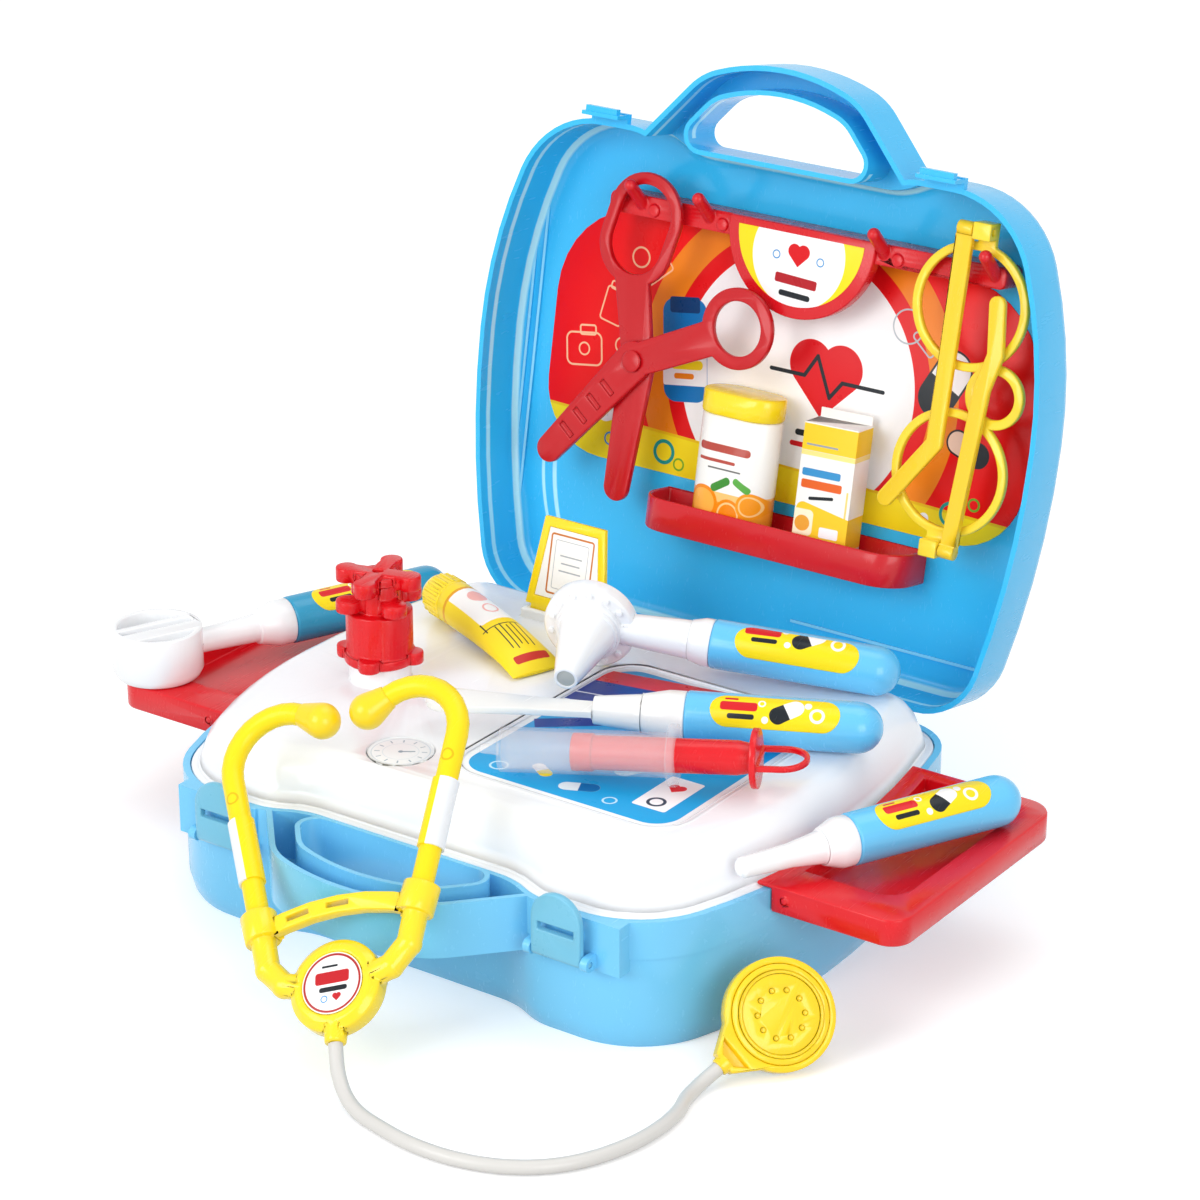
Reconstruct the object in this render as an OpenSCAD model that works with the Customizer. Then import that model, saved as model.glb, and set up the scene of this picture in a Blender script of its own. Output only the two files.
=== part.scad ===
// Toy doctor case: an open carry case with a play table, two side trays and a set of toy instruments.
// Millimetres. +Z is up, the handle is towards -Y, the lid hinge is towards +Y.
// The origin is on the floor, under the middle of the case.

/* [Case] */
// Greatest width of the case
case_w = 270; // [260:1:300]
// Distance from the origin to the front wall beside the latches
front_y = 97; // [92:1:104]
// How far the middle of the front wall steps back for the handle
front_step = 7; // [5:0.5:9]
// Distance from the origin to the back wall
back_y = 115; // [108:1:124]
// Plan radius of the two front corners
front_corner_r = 41; // [34:1:46]
// Plan radius of the two back corners
back_corner_r = 27; // [25:1:34]
// Height of the base, from the floor to its rim
base_h = 53; // [48:1:62]
// Wall thickness of the two shells
wall = 2.2; // [1.8:0.1:2.8]
// Height of the tapered foot of the base
foot_h = 9; // [6:0.5:12]
// Depth of the lid
lid_h = 29; // [28:0.5:34]
// Angle that the lid is open, from closed
lid_open = 100.5; // [96:0.5:106]

/* [Handle] */
// Reach of the handle in front of the origin
handle_y = 131; // [128:1:138]
// Depth of each half of the handle
handle_h = 22; // [18:1:26]
// Width of the bar that the hand holds
handle_bar = 12; // [10:0.5:14]

/* [Latches] */
// Distance of each latch from the middle
latch_x = 80; // [76:1:84]
// Width of a latch
latch_w = 22; // [18:1:24]
// Height of a latch from its axis to its top
latch_h = 25; // [23:0.5:28]
// Radius of the latch pins
latch_pin_r = 1.2; // [1:0.1:1.4]

/* [Hinge] */
// Distance of each hinge from the middle
hinge_x = 83; // [70:1:86]
// Radius of the hinge pins
hinge_pin_r = 1.3; // [1.1:0.1:1.5]
// Running clearance of a pin in its bore
pin_clear = 0.06; // [0.04:0.01:0.1]

/* [Table] */
// Height of the table top over the rim
table_rise = 20; // [16:1:23]
// Distance from the case outline to the table's top face
table_inset = 20; // [18:0.5:22]
// Thickness of the moulded table
table_t = 2; // [1.6:0.1:2.4]
// Radius of the dial
dial_r = 13; // [10:0.5:15]
// Radius of the post that carries the carousel
post_r = 12.5; // [11:0.5:13]

/* [Trays] */
// How far a side tray reaches out from the case
tray_out = 52; // [46:1:60]
// Length of a side tray
tray_len = 118; // [110:1:124]
// Width of the tongue that plugs into the case
tongue_w = 78; // [60:1:90]

/* [Instruments] */
// Radius of the wand grips
grip_r = 10; // [9:0.25:10.5]
// Length of the wand grips
grip_len = 76; // [70:1:80]
// Radius of the syringe barrel
barrel_r = 8.6; // [8:0.1:9.2]
// How far the syringe plunger stands out
plunger_out = 31; // [26:1:34]
// Radius of the stethoscope's badge housing
badge_r = 18; // [16:0.5:19]
// Radius of the stethoscope's ear tubes
ear_tube_r = 4.3; // [3.6:0.1:4.6]
// Radius of the stethoscope's hose
hose_r = 2.7; // [2.4:0.1:3]
// Radius of the chest piece
chest_r = 21; // [19:0.5:23]

/* [Lid fittings] */
// Outer radius of a glasses ring
ring_r = 26; // [24:0.5:27]
// Width of the band of a glasses ring
ring_band = 3.5; // [3:0.25:4]
// Outer radius of the round scissor loop
loop_r = 17; // [15:0.5:18]
// Depth of the shelf trough
shelf_depth = 26; // [24:0.5:27]
// Height of the shelf trough
shelf_h = 14; // [12:0.5:16]

/* [Hidden] */
$fn = 48;

// Colours
sky = "#6FC3F2";
lid_blue = "#2FB4EE";
latch_blue = "#62B6D6";
toy_red = "#DC1A26";
toy_yellow = "#FFE21F";
toy_white = "#F6F8FA";

// ---- Small general shapes ----

// Points along an arc of radius r about c, from angle a0 to a1.
function arc(c, r, a0, a1, n, first = 0) =
    [for (i = [first:n]) c + r * [cos(a0 + (a1 - a0) * i / n), sin(a0 + (a1 - a0) * i / n)]];

// The same list mirrored in x and reversed, so that it closes a half outline.
function mirrored(pts) = [for (i = [len(pts) - 1:-1:0]) [-pts[i].x, pts[i].y]];

// Outline of a rectangle x0..x1, y0..y1 with four corner radii, from the lower left and anticlockwise.
function round_box(x0, x1, y0, y1, r) = concat(
    arc([x0 + r[0], y0 + r[0]], r[0], 180, 270, 8),
    arc([x1 - r[1], y0 + r[1]], r[1], 270, 360, 8),
    arc([x1 - r[2], y1 - r[2]], r[2], 0, 90, 8),
    arc([x0 + r[3], y1 - r[3]], r[3], 90, 180, 8));

module plate(pts, z0, z1) {
    translate([0, 0, z0]) linear_extrude(z1 - z0) polygon(pts);
}

// A straight round bar from a to b.
module rod(a, b, r, r2 = -1) {
    v = b - a;
    translate(a) rotate([0, acos(v.z / norm(v)), atan2(v.y, v.x)])
        cylinder(h = norm(v), r1 = r, r2 = r2 < 0 ? r : r2);
}

// ---- Plan outline of the case, inset by d: a chain of tangent arcs ----

half_w = case_w / 2;
side_y = 0;
mid_y = front_y - front_step;
step_x = 42;
step_run = 28;
step_a = 2 * atan(front_step / step_run);
step_r = step_run / 2 / sin(step_a);
side_front_r = 200;
side_back_r = 385;
front_a = asin((side_y + front_y - front_corner_r) / (side_front_r - front_corner_r));
back_a = asin((back_y - back_corner_r - side_y) / (side_back_r - back_corner_r));
side_front_c = [half_w - side_front_r, side_y];
side_back_c = [half_w - side_back_r, side_y];
front_c = side_front_c + (side_front_r - front_corner_r) * [cos(front_a), -sin(front_a)];
back_c = side_back_c + (side_back_r - back_corner_r) * [cos(back_a), sin(back_a)];

function half_line(d) = concat(
    arc([step_x, -mid_y - step_r], step_r + d, 90, 90 - step_a, 5),
    arc([step_x + step_run, -front_y + step_r], step_r - d, 270 - step_a, 270, 5, 1),
    arc(front_c, front_corner_r - d, 270, 360 - front_a, 10),
    arc(side_front_c, side_front_r - d, -front_a, 0, 5, 1),
    arc(side_back_c, side_back_r - d, 0, back_a, 5, 1),
    arc(back_c, back_corner_r - d, back_a, 90, 8, 1));
function case_line(d) = concat(half_line(d), mirrored(half_line(d)));

// Outline of the handle arch, inset by d.
arch_r = 90;
arch_a = 20;
shoulder_r = 30;
leg_a = 48;
arch_c = [0, -handle_y + arch_r];
shoulder_c = arch_c + (arch_r - shoulder_r) * [sin(arch_a), -cos(arch_a)];
root_y = -mid_y + 6;
function leg_point(d) = shoulder_c + (shoulder_r - d) * [sin(leg_a), -cos(leg_a)];
function leg_root(d) = leg_point(d) + (root_y - leg_point(d).y) / sin(leg_a) * [cos(leg_a), sin(leg_a)];
function half_arch(d) = concat(
    [leg_root(d)],
    arc(shoulder_c, shoulder_r - d, 270 + leg_a, 270 + arch_a, 6),
    arc(arch_c, arch_r - d, 270 + arch_a, 270, 5, 1));
function open_mirror(pts) = [for (i = [len(pts) - 2:-1:0]) [-pts[i].x, pts[i].y]];
function handle_line(d) = concat(half_arch(d), open_mirror(half_arch(d)));

// Outline of the hand hole, inset by d.
hole_corner_r = 6;
hole_back_y = -mid_y - 2;
hole_leg = leg_point(handle_bar);
hole_t = (hole_back_y - hole_corner_r - hole_leg.y - hole_corner_r * cos(leg_a)) / sin(leg_a);
hole_c = hole_leg + hole_t * [cos(leg_a), sin(leg_a)] + hole_corner_r * [-sin(leg_a), cos(leg_a)];
function half_hole(d) = concat(
    arc(hole_c, hole_corner_r - d, 90, leg_a - 90, 8),
    arc(shoulder_c, shoulder_r - handle_bar - d, 270 + leg_a, 270 + arch_a, 5),
    arc(arch_c, arch_r - handle_bar - d, 270 + arch_a, 270, 5, 1));
function hole_line(d) = concat(half_hole(d), open_mirror(half_hole(d)));

function middle(pts) = [for (k = [0:len(pts) - 1]) 1] * pts / len(pts);
// A solid through a stack of rings with the same number of points, anticlockwise seen from the last ring.
module loft(rings) {
    n = len(rings[0]);
    m = len(rings);
    sides = [for (k = [0:m - 2]) for (i = [0:n - 1]) let (j = (i + 1) % n)
        each [[k * n + i, (k + 1) * n + i, (k + 1) * n + j], [k * n + i, (k + 1) * n + j, k * n + j]]];
    caps = [for (i = [0:n - 1]) let (j = (i + 1) % n)
        each [[m * n, i, j], [m * n + 1, (m - 1) * n + j, (m - 1) * n + i]]];
    polyhedron(concat([for (g = rings) each g], [middle(rings[0]), middle(rings[m - 1])]), concat(sides,
        caps));
}

// The same through case outlines: rings = [[z, inset], ...] from the lowest up.
module case_loft(rings) {
    loft([for (g = rings) [for (p = case_line(g[1])) [p.x, p.y, g[0]]]]);
}

// ---- Fits and places that the pieces share ----

foot_in = 3;
floor_t = 2.6;
band_h = 15;
band_out = 0.6;
rim_gap = 0.3;
flange_t = 2.2;
flange_clear = 0.4;
seat_gap = 0.1;
ledge_w = 3;
ring_t = 2;
ring_up = 1.4;
channel_floor = 2;
hinge_y = back_y + 3.2;
hinge_z = base_h - 1;
knuckle_r = 2.9;
knuckle_len = 9.4;
ear_len = 4;
ear_gap = 0.3;
table_z = base_h + table_rise;
rest_gap = 0.3;

// The lid is drawn closed and turned open about the hinge.
module open_lid() {
    translate([0, hinge_y, hinge_z]) rotate([-lid_open, 0, 0]) translate([0, -hinge_y,
        -hinge_z]) children();
}
// Frame of the open lid: x along the hinge, y up the panel from the hinge axis, z out of the panel.
module on_lid() {
    translate([0, hinge_y, hinge_z]) rotate([180 - lid_open, 0, 0]) children();
}
lid_rim_z = base_h + rim_gap;
panel_t = 2.4;
panel = -(lid_rim_z - hinge_z) - lid_h + panel_t;   // panel face in the frame of on_lid

// ---- Base ----

pad_y = -front_y - 1.5;
latch_z = base_h - 16;
latch_y = pad_y - 3.9;
latch_barrel_r = 2.2;
latch_t = 3;
latch_ear_t = 3;
latch_side = 0.3;
tongue_t = 2.8;
tongue_z = base_h - flange_t - seat_gap - 0.25 - tongue_t;
tongue_gap = 0.15;
tray_y = 18;

module base_shell() color(sky) {
    difference() {
        union() {
            difference() {
                union() {
                    case_loft([[0, foot_in], [2, foot_in * 0.6], [foot_h, 0]]);
                    plate(case_line(0), foot_h, base_h);
                    plate(case_line(-band_out), base_h - band_h, base_h);
                    plate(handle_line(0), base_h - handle_h, base_h);
                    for (s = [-1, 1]) latch_pad(s);
                }
                plate(case_line(wall + foot_in), floor_t, foot_h + 1);
                plate(case_line(wall), foot_h, base_h + 1);
                difference() {
                    plate(handle_line(wall), base_h - handle_h + channel_floor, base_h + 1);
                    plate(case_line(0), 0, base_h + 2);
                }
            }
            plate(hole_line(-ring_t), base_h - handle_h, base_h + ring_up);
            flange_ledge();
            for (s = [-1, 1]) base_knuckles(s);
            for (s = [-1, 1]) lid_stop(s * 45);
        }
        plate(hole_line(0), base_h - handle_h - 1, base_h + ring_up + 1);
        for (s = [-1, 1]) {
            tray_slot(s);
            translate([s * hinge_x, hinge_y, hinge_z]) rotate([0, 90, 0])
                cylinder(r = knuckle_r + ear_gap, h = knuckle_len + 2 * ear_gap, center = true);
        }
    }
}

// Flat pad on the front wall with two ears that carry the latch pins.
module latch_pad(s) {
    pad_in = latch_w / 2 + latch_side + latch_ear_t;
    mirror([s < 0 ? 1 : 0, 0, 0]) translate([latch_x - pad_in, pad_y, latch_z - 4])
        cube([2 * pad_in + 10, 9, base_h - latch_z + 4]);
    for (e = [-1, 1]) translate([s * latch_x + e * (latch_w / 2 + latch_side + latch_ear_t / 2), 0,
        latch_z])
        difference() {
            union() {
                translate([0, latch_y, 0]) rotate([0, 90, 0])
                    cylinder(r = latch_barrel_r + 0.6, h = latch_ear_t, center = true);
                translate([-latch_ear_t / 2, latch_y, -latch_barrel_r - 0.6])
                    cube([latch_ear_t, pad_y - latch_y + 1, 2 * latch_barrel_r + 1.2]);
            }
            translate([0, latch_y, 0]) rotate([0, 90, 0])
                cylinder(r = latch_pin_r + pin_clear, h = latch_ear_t + 1, center = true);
        }
}

// Ledge inside the wall that the table's flange sits on.
module flange_ledge() {
    top = base_h - flange_t - seat_gap;
    difference() {
        plate(case_line(wall - 0.4), top - 3, top);
        plate(case_line(wall + ledge_w), top - 4, top + 1);
        plate(handle_line(wall), top - 4, top + 1);
    }
}

// Slot in the side wall for a tray's tongue.
module tray_slot(s) {
    slot_z = tongue_z - tongue_gap;
    translate([s * half_w - 16, tray_y - tongue_w / 2 - tongue_gap, slot_z])
        cube([32, tongue_w + 2 * tongue_gap, base_h - flange_t - slot_z]);
}

// Two ears on the back wall for one hinge pin.
module base_knuckles(s) {
    for (e = [-1, 1]) translate([s * hinge_x + e * (knuckle_len / 2 + ear_gap + ear_len / 2), 0,
        0]) difference() {
        union() {
            translate([0, hinge_y, hinge_z]) rotate([0, 90, 0]) cylinder(r = knuckle_r, h = ear_len,
                center = true);
            translate([-ear_len / 2, back_y - 1, hinge_z - knuckle_r]) cube([ear_len,
                hinge_y - back_y + 1, knuckle_r]);
        }
        translate([0, hinge_y, hinge_z]) rotate([0, 90, 0]) cylinder(r = hinge_pin_r, h = ear_len + 1,
            center = true);
    }
}

// Lug that the open lid leans on.
module lid_stop(x) {
    lug_w = 10;
    difference() {
        union() {
            translate([x - lug_w / 2, back_y - 1, hinge_z - 10]) cube([lug_w, 13, 9]);
            translate([x - lug_w / 2, hinge_y + 2.5, hinge_z - 10]) cube([lug_w, 6.3, 14]);
        }
        open_lid() translate([-half_w, back_y - 50, lid_rim_z - rest_gap]) cube([case_w, 50 + rest_gap,
            lid_h]);
        translate([0, hinge_y, hinge_z]) rotate([0, 90, 0]) cylinder(r = knuckle_r + 1, h = case_w,
            center = true);
    }
}

module hinge_pins() color("#D9DDE0") for (s = [-1, 1])
    translate([s * hinge_x, hinge_y, hinge_z]) rotate([0, 90, 0])
        cylinder(r = hinge_pin_r, h = knuckle_len + 2 * ear_gap + 2 * ear_len, center = true);

// ---- Table insert ----

dial_c = [-26, -58];
post_c = [-75, -8];
post_h = 8;
spigot_r = 6;
spigot_h = 24;
print_x0 = -4;
print_x1 = 97;
print_y0 = -58;
print_y1 = 60;
print_corner = [14, 14, 14, 14];
print_in = 0.6;
print_t = 0.3;
chart_c = [-46, 78];
chart_w = 34;
chart_t = 2.4;
chart_lean = 12;
chart_foot = 1.2;
flange_in = wall + flange_clear;

// Side slope of the table as [height over the rim, inset] pairs.
function slope(t) = [
    [-flange_t, flange_in + 3.5 + t], [0.5 - t * 0.2, flange_in + 3.6 + t],
    [table_rise * 0.3, flange_in + 5 + t], [table_rise * 0.62, flange_in + 7.8 + t],
    [table_rise * 0.85, flange_in + 11.5 + t], [table_rise * 0.96, table_inset - 2.6 + t * 0.6],
    [table_rise, table_inset + t * 0.5]];

module table_insert() color(toy_white) {
    difference() {
        union() {
            plate(case_line(flange_in), base_h - flange_t, base_h);
            case_loft([for (g = slope(0)) [base_h + g[0], g[1]]]);
            translate([post_c.x, post_c.y, table_z - table_t]) cylinder(r = post_r, h = post_h + table_t);
            translate([post_c.x, post_c.y, table_z]) cylinder(r = spigot_r, h = spigot_h);
            plate(round_box(print_x0 - 2.2, print_x1 + 2.2, print_y0 - 2.2, print_y1 + 2.2,
                print_corner + [2.2, 2.2, 2.2, 2.2]),
                table_z - 1, table_z + 0.5);
            chart_socket();
        }
        case_loft([for (g = slope(table_t)) [base_h + g[0] - (g[0] == -flange_t ? 1 : table_t), g[1]]]);
        plate(round_box(print_x0, print_x1, print_y0, print_y1, print_corner), table_z - print_in,
            table_z + 1);
        translate([dial_c.x, dial_c.y, table_z - print_in]) cylinder(r = dial_r, h = 2);
        on_chart() translate([-chart_w / 2 - 0.2, -chart_t / 2 - 0.2, 0]) cube([chart_w + 0.4,
            chart_t + 0.4, 10]);
    }
}

// Frame of the standing chart: x along its foot, z up its face.
module on_chart() {
    translate([chart_c.x, chart_c.y, table_z + chart_foot]) rotate([-chart_lean, 0, 0]) children();
}
module chart_socket() {
    translate([chart_c.x - chart_w / 2 - 3, chart_c.y - 4, table_z - 1]) cube([chart_w + 6, 9, 5]);
}

module table_print() color("#2AA3DC") {
    plate(round_box(print_x0 + 0.3, print_x1 - 0.3, print_y0 + 0.3, print_y1 - 0.3, print_corner),
        table_z - print_in, table_z - print_in + print_t);
}

module dial_disc() color(toy_white) {
    translate([dial_c.x, dial_c.y, table_z - print_in]) cylinder(r = dial_r - 0.4, h = print_t);
}

// Turning carousel: two tiers of arms over a drum with four lobes round its foot.
module carousel() color(toy_red) translate([post_c.x, post_c.y, table_z + post_h + rest_gap]) {
    drum_r = 13.4;
    arm_r = 18;
    difference() {
        union() {
            cylinder(r = drum_r + 1, h = 4);
            for (k = [0:3]) rotate([0, 0, 20 + 90 * k]) arm(arm_r, 4.5, 0, 5);
            cylinder(r = drum_r, h = 22);
            cylinder(r = drum_r - 4, h = 34);
            for (k = [0:3]) rotate([0, 0, 65 + 90 * k]) arm(arm_r + 0.5, 5, 23.5, 28.5);
            for (k = [0:3]) rotate([0, 0, 15 + 90 * k]) arm(arm_r, 4.5, 32, 38);
            translate([0, 0, 32]) cylinder(r = 9, h = 5);
        }
        translate([0, 0, -1]) cylinder(r = spigot_r + pin_clear, h = spigot_h - post_h + 1.6);
        translate([0, 0, 36]) cylinder(r = 2, h = 3);
    }
}
module arm(reach, r, z0, z1) {
    translate([reach - r, 0, z0]) cylinder(r = r, h = z1 - z0);
    translate([0, -r * 0.8, z0]) cube([reach - r, r * 1.6, z1 - z0]);
}

// ---- Trays ----

tray_top = base_h + 2;
tray_reach = half_w + tray_out;
tray_h = 11;
tray_wall = 2;
tray_floor = tray_top - 5.5;
tray_lip_t = 1.7;
tray_lip_in = 5;
tray_gap = band_out + 0.5;
tray_y0 = tray_y - tray_len / 2;
tray_y1 = tray_y + tray_len / 2;

// Deck with a sunk floor, a lip over the case's rim and a tongue into its wall.
module tray(s) color(toy_red) mirror([s < 0 ? 1 : 0, 0, 0]) {
    outer = round_box(half_w - 30, tray_reach, tray_y0, tray_y1, [2, 9, 12, 2]);
    dish = round_box(half_w - 30, tray_reach - 11, tray_y0 + 17, tray_y1 - 7, [2, 10, 14, 2]);
    difference() {
        union() {
            difference() {
                plate(outer, tray_top - tray_h, tray_top);
                plate(case_line(-tray_gap), 0, tray_top - tray_lip_t);
            }
            translate([half_w - 9, tray_y - tongue_w / 2, tongue_z]) cube([14, tongue_w, tongue_t]);
            translate([half_w + 3, tray_y0 + 1, tray_top - 5]) rotate([90, 0, 0]) cylinder(r = 1.6,
                h = 1.8);
        }
        plate(case_line(tray_lip_in), 0, tray_top + 1);
        difference() {
            plate(dish, tray_floor, tray_top + 1);
            plate(case_line(-tray_gap - tray_wall), 0, tray_top + 2);
        }
        difference() {
            plate(round_box(half_w - 30, tray_reach - tray_wall, tray_y0 + tray_wall,
                tray_y1 - tray_wall, [2, 7, 10, 2]),
                tray_top - tray_h - 1, tray_floor - tray_wall);
            plate(case_line(-tray_gap - tray_wall), 0, tray_top + 2);
        }
    }
}
module tray_left() tray(-1);
module tray_right() tray(1);

// ---- Latches ----

catch_slot_z = base_h - 6.8;

// A latch turns about its pins and is shown upright.
module latch(s) color(latch_blue) translate([s * latch_x, latch_y, latch_z]) {
    r = latch_w / 2;
    difference() {
        union() {
            rotate([90, 0, 0]) translate([0, 0, latch_barrel_r - latch_t]) linear_extrude(latch_t)
                polygon(concat([[-r, 0], [r, 0]], arc([0, latch_h - r], r, 0, 180, 24)));
            rotate([0, 90, 0]) cylinder(r = latch_barrel_r, h = latch_w, center = true);
            rotate([0, 90, 0]) cylinder(r = latch_pin_r, h = latch_w + 2 * (latch_side + latch_ear_t),
                center = true);
        }
        translate([-8, -latch_barrel_r - 1, catch_slot_z - latch_z]) cube([16, 6, 3.2]);
    }
}
module latch_left() latch(-1);
module latch_right() latch(1);

// ---- Lid ----

lid_top = lid_rim_z + lid_h;
lid_round = 8;
in_round = lid_round - panel_t;
catch_w = 18;
catch_tab_y = pad_y - 0.5;
catch_nub_y = latch_y - 0.6;

module lid_shell() color(lid_blue) open_lid() {
    difference() {
        union() {
            difference() {
                union() {
                    plate(case_line(0), lid_rim_z, lid_top - lid_round);
                    case_loft([for (a = [0:22.5:90])
                        [lid_top - lid_round + lid_round * sin(a), lid_round * (1 - cos(a))]]);
                    plate(handle_line(0), lid_rim_z, lid_rim_z + handle_h);
                }
                plate(case_line(wall), lid_rim_z - 1, lid_top - lid_round);
                case_loft([for (a = [0:22.5:90])
                    [lid_top - lid_round + in_round * sin(a), wall + in_round * (1 - cos(a))]]);
                plate(handle_line(wall), lid_rim_z - 1, lid_rim_z + handle_h - channel_floor);
            }
            plate(hole_line(-ring_t), lid_rim_z + ring_up + rim_gap, lid_rim_z + handle_h);
            for (s = [-1, 1]) {
                lid_catch(s);
                lid_knuckle(s);
            }
            side_rib(-half_w + 6.5);
            side_rib(-half_w + 11);
            foot_rib();
        }
        plate(hole_line(0), lid_rim_z - 1, lid_rim_z + handle_h + 1);
    }
}

// Tab on the lid's front wall that snaps behind a latch.
module lid_catch(s) {
    nub_z = catch_slot_z + 0.2;
    translate([s * latch_x - catch_w / 2, catch_tab_y - 2, lid_rim_z]) cube([catch_w,
        -front_y - catch_tab_y + 3, 2.7]);
    translate([s * latch_x - catch_w / 2, catch_tab_y - 1.6, base_h - 7.5]) cube([catch_w, 1.6, 9]);
    translate([s * latch_x - 7.7, catch_nub_y, nub_z]) cube([15.4, catch_tab_y - catch_nub_y, 2.8]);
}

// Barrel of one hinge on the lid's back wall.
module lid_knuckle(s) {
    translate([s * hinge_x, hinge_y, hinge_z]) difference() {
        union() {
            rotate([0, 90, 0]) cylinder(r = knuckle_r, h = knuckle_len, center = true);
            translate([-knuckle_len / 2, back_y - hinge_y - 1, lid_rim_z - hinge_z])
                cube([knuckle_len, hinge_y - back_y + 1, knuckle_r - lid_rim_z + hinge_z]);
        }
        rotate([0, 90, 0]) cylinder(r = hinge_pin_r + pin_clear, h = knuckle_len + 1, center = true);
    }
}

// Shallow ridge up the inside of the lid, beside its left wall.
module side_rib(x) {
    translate([x, -front_y + 45, lid_top - panel_t - 1.2]) cube([1.2, 130, 2.4]);
}

// Shallow ridge across the inside of the lid, near the hinge.
module foot_rib() {
    translate([20, hinge_y - 20.1, lid_top - panel_t - 1.2]) cube([half_w - 44, 1.2, 2.4]);
}

// ---- Fittings of the lid: x along the hinge, y up the panel, z out of it ----

card_t = 0.4;
module lid_print() color("#E0202A") on_lid()
    plate(round_box(20 - half_w, half_w - 15, 68, rail_s - rail_w / 2 - 0.2, [30, 30, 40, 40]), panel,
        panel + card_t);

rail_s = 181;
rail_w = 9;
rail_z = -14;
peg_r = 2.7;
peg_reach = [9, 10];
peg_x = [-68, -34, 50, 101];
shield_c = [12, 183];
shield_r = 35;

module hook_rail() color(toy_red) on_lid() {
    plate(round_box(-84, 106, rail_s - rail_w / 2, rail_s + rail_w / 2, [3, 3, 3, 3]), panel, rail_z);
    intersection() {
        translate([shield_c.x, shield_c.y, rail_z - 4]) cylinder(r = shield_r, h = 6);
        translate([shield_c.x - shield_r, 100, panel]) cube([2 * shield_r, rail_s + rail_w / 2 - 100,
            40]);
    }
    for (x = peg_x) {
        rod([x, rail_s, rail_z - 2], [x, rail_s + peg_reach[0], rail_z + peg_reach[1]], peg_r);
        translate([x, rail_s + peg_reach[0], rail_z + peg_reach[1]]) sphere(r = peg_r);
    }
    for (x = [peg_x[0], peg_x[1], peg_x[2]]) translate([x + 7, rail_s - 1,
        rail_z - 1]) cylinder(r = 2.6, h = 2.4);
}
// Highest point of a peg where a loop of thickness 3 hangs on it.
loop_z = -12;
loop_t = 3;
peg_top = rail_s + peg_reach[0] / peg_reach[1] * (loop_z + loop_t - rail_z) + peg_r /
    cos(atan(peg_reach[0] / peg_reach[1]));

module shield_label() color("#FFE21F") on_lid() intersection() {
    translate([shield_c.x, shield_c.y, rail_z + 2]) cylinder(r = shield_r - 5, h = 0.3);
    translate([shield_c.x - shield_r, 100, panel]) cube([2 * shield_r, rail_s + rail_w / 2 - 103, 40]);
}

shelf_s = 49;
shelf_t = 2;
shelf_x0 = -48;
shelf_x1 = 80;
shelf_front = -panel - shelf_depth;

// Upright frame on the lid: x along the hinge, y from the rim plane to the panel, z up from the shelf floor.
module on_shelf() {
    on_lid() translate([0, shelf_s + shelf_t, 0]) rotate([-90, 0, 0]) children();
}
module lid_shelf() color(toy_red) on_shelf() difference() {
    plate(round_box(shelf_x0, shelf_x1, shelf_front, -panel, [15, 15, 1, 1]), -shelf_t,
        shelf_h - shelf_t);
    plate(round_box(shelf_x0 + 1.8, shelf_x1 - 1.8, shelf_front + 1.8, -panel - 1.5, [13, 13, 1, 1]), 0,
        shelf_h);
}

bottle_x = -7;
bottle_y = 14.6;
bottle_w = 36;
bottle_d = 21;
bottle_h = 52;
cap_h = 10;
function stadium(c, w, d) = concat(
    arc([c.x + w / 2 - d / 2, c.y], d / 2, -90, 90, 12), arc([c.x - w / 2 + d / 2, c.y], d / 2, 90, 270,
        12));

module pill_bottle() color("#F4F4F2") on_shelf() {
    plate(stadium([bottle_x, bottle_y], bottle_w, bottle_d), rest_gap, rest_gap + bottle_h);
    plate(stadium([bottle_x, bottle_y], bottle_w - 5, bottle_d - 5), bottle_h, rest_gap + bottle_h + 2);
}
module bottle_cap() color(toy_yellow) on_shelf() difference() {
    plate(stadium([bottle_x, bottle_y], bottle_w + 1, bottle_d + 1), rest_gap + bottle_h,
        rest_gap + bottle_h + cap_h);
    plate(stadium([bottle_x, bottle_y], bottle_w - 5, bottle_d - 5), bottle_h, rest_gap + bottle_h + 2);
}

carton_x = 39;
carton_size = [24, 16, 58];
module carton() color("#F4F4F2") on_shelf() translate([carton_x, 14.6, rest_gap]) rotate([0, 0, 8]) {
    translate([-carton_size.x / 2, -carton_size.y / 2, 0]) cube(carton_size);
    translate([-carton_size.x / 2 + 0.4, carton_size.y / 2 - 1,
        carton_size.z - 1]) cube([carton_size.x - 0.8, 0.8, 5]);
}

// A flat bar from a to b that tapers from width wa to width wb.
module bar(a, b, wa, wb, z0, z1) {
    u = (b - a) / norm(b - a);
    n = [-u.y, u.x] / 2;
    plate([a + n * wa, a - n * wa, b - n * wb, b + n * wb], z0, z1);
}
module disc(c, r, z0, z1) {
    translate([c.x, c.y, z0]) cylinder(r = r, h = z1 - z0);
}

// Scissors: both halves hang on one peg by the long loop.
pivot = [-59, 117];
pivot_r = 3;
long_r = 18;
long_band = 5;
long_lean = 15;
long_half = 6.5;
long_up = [sin(long_lean), cos(long_lean)] * long_half;
long_c = [-64.4, peg_top + 0.65 - long_up.y - sqrt(pow(long_r - long_band, 2) - 5.4 * 5.4)];
long_tip = [-62.8, 61.5];
round_c = [-10, 140];
round_tip = [-96.8, 71.7];
blade_w = 17;
tip_r = 6;
half_gap = 0.1;
loop_top = loop_z + loop_t;

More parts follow.
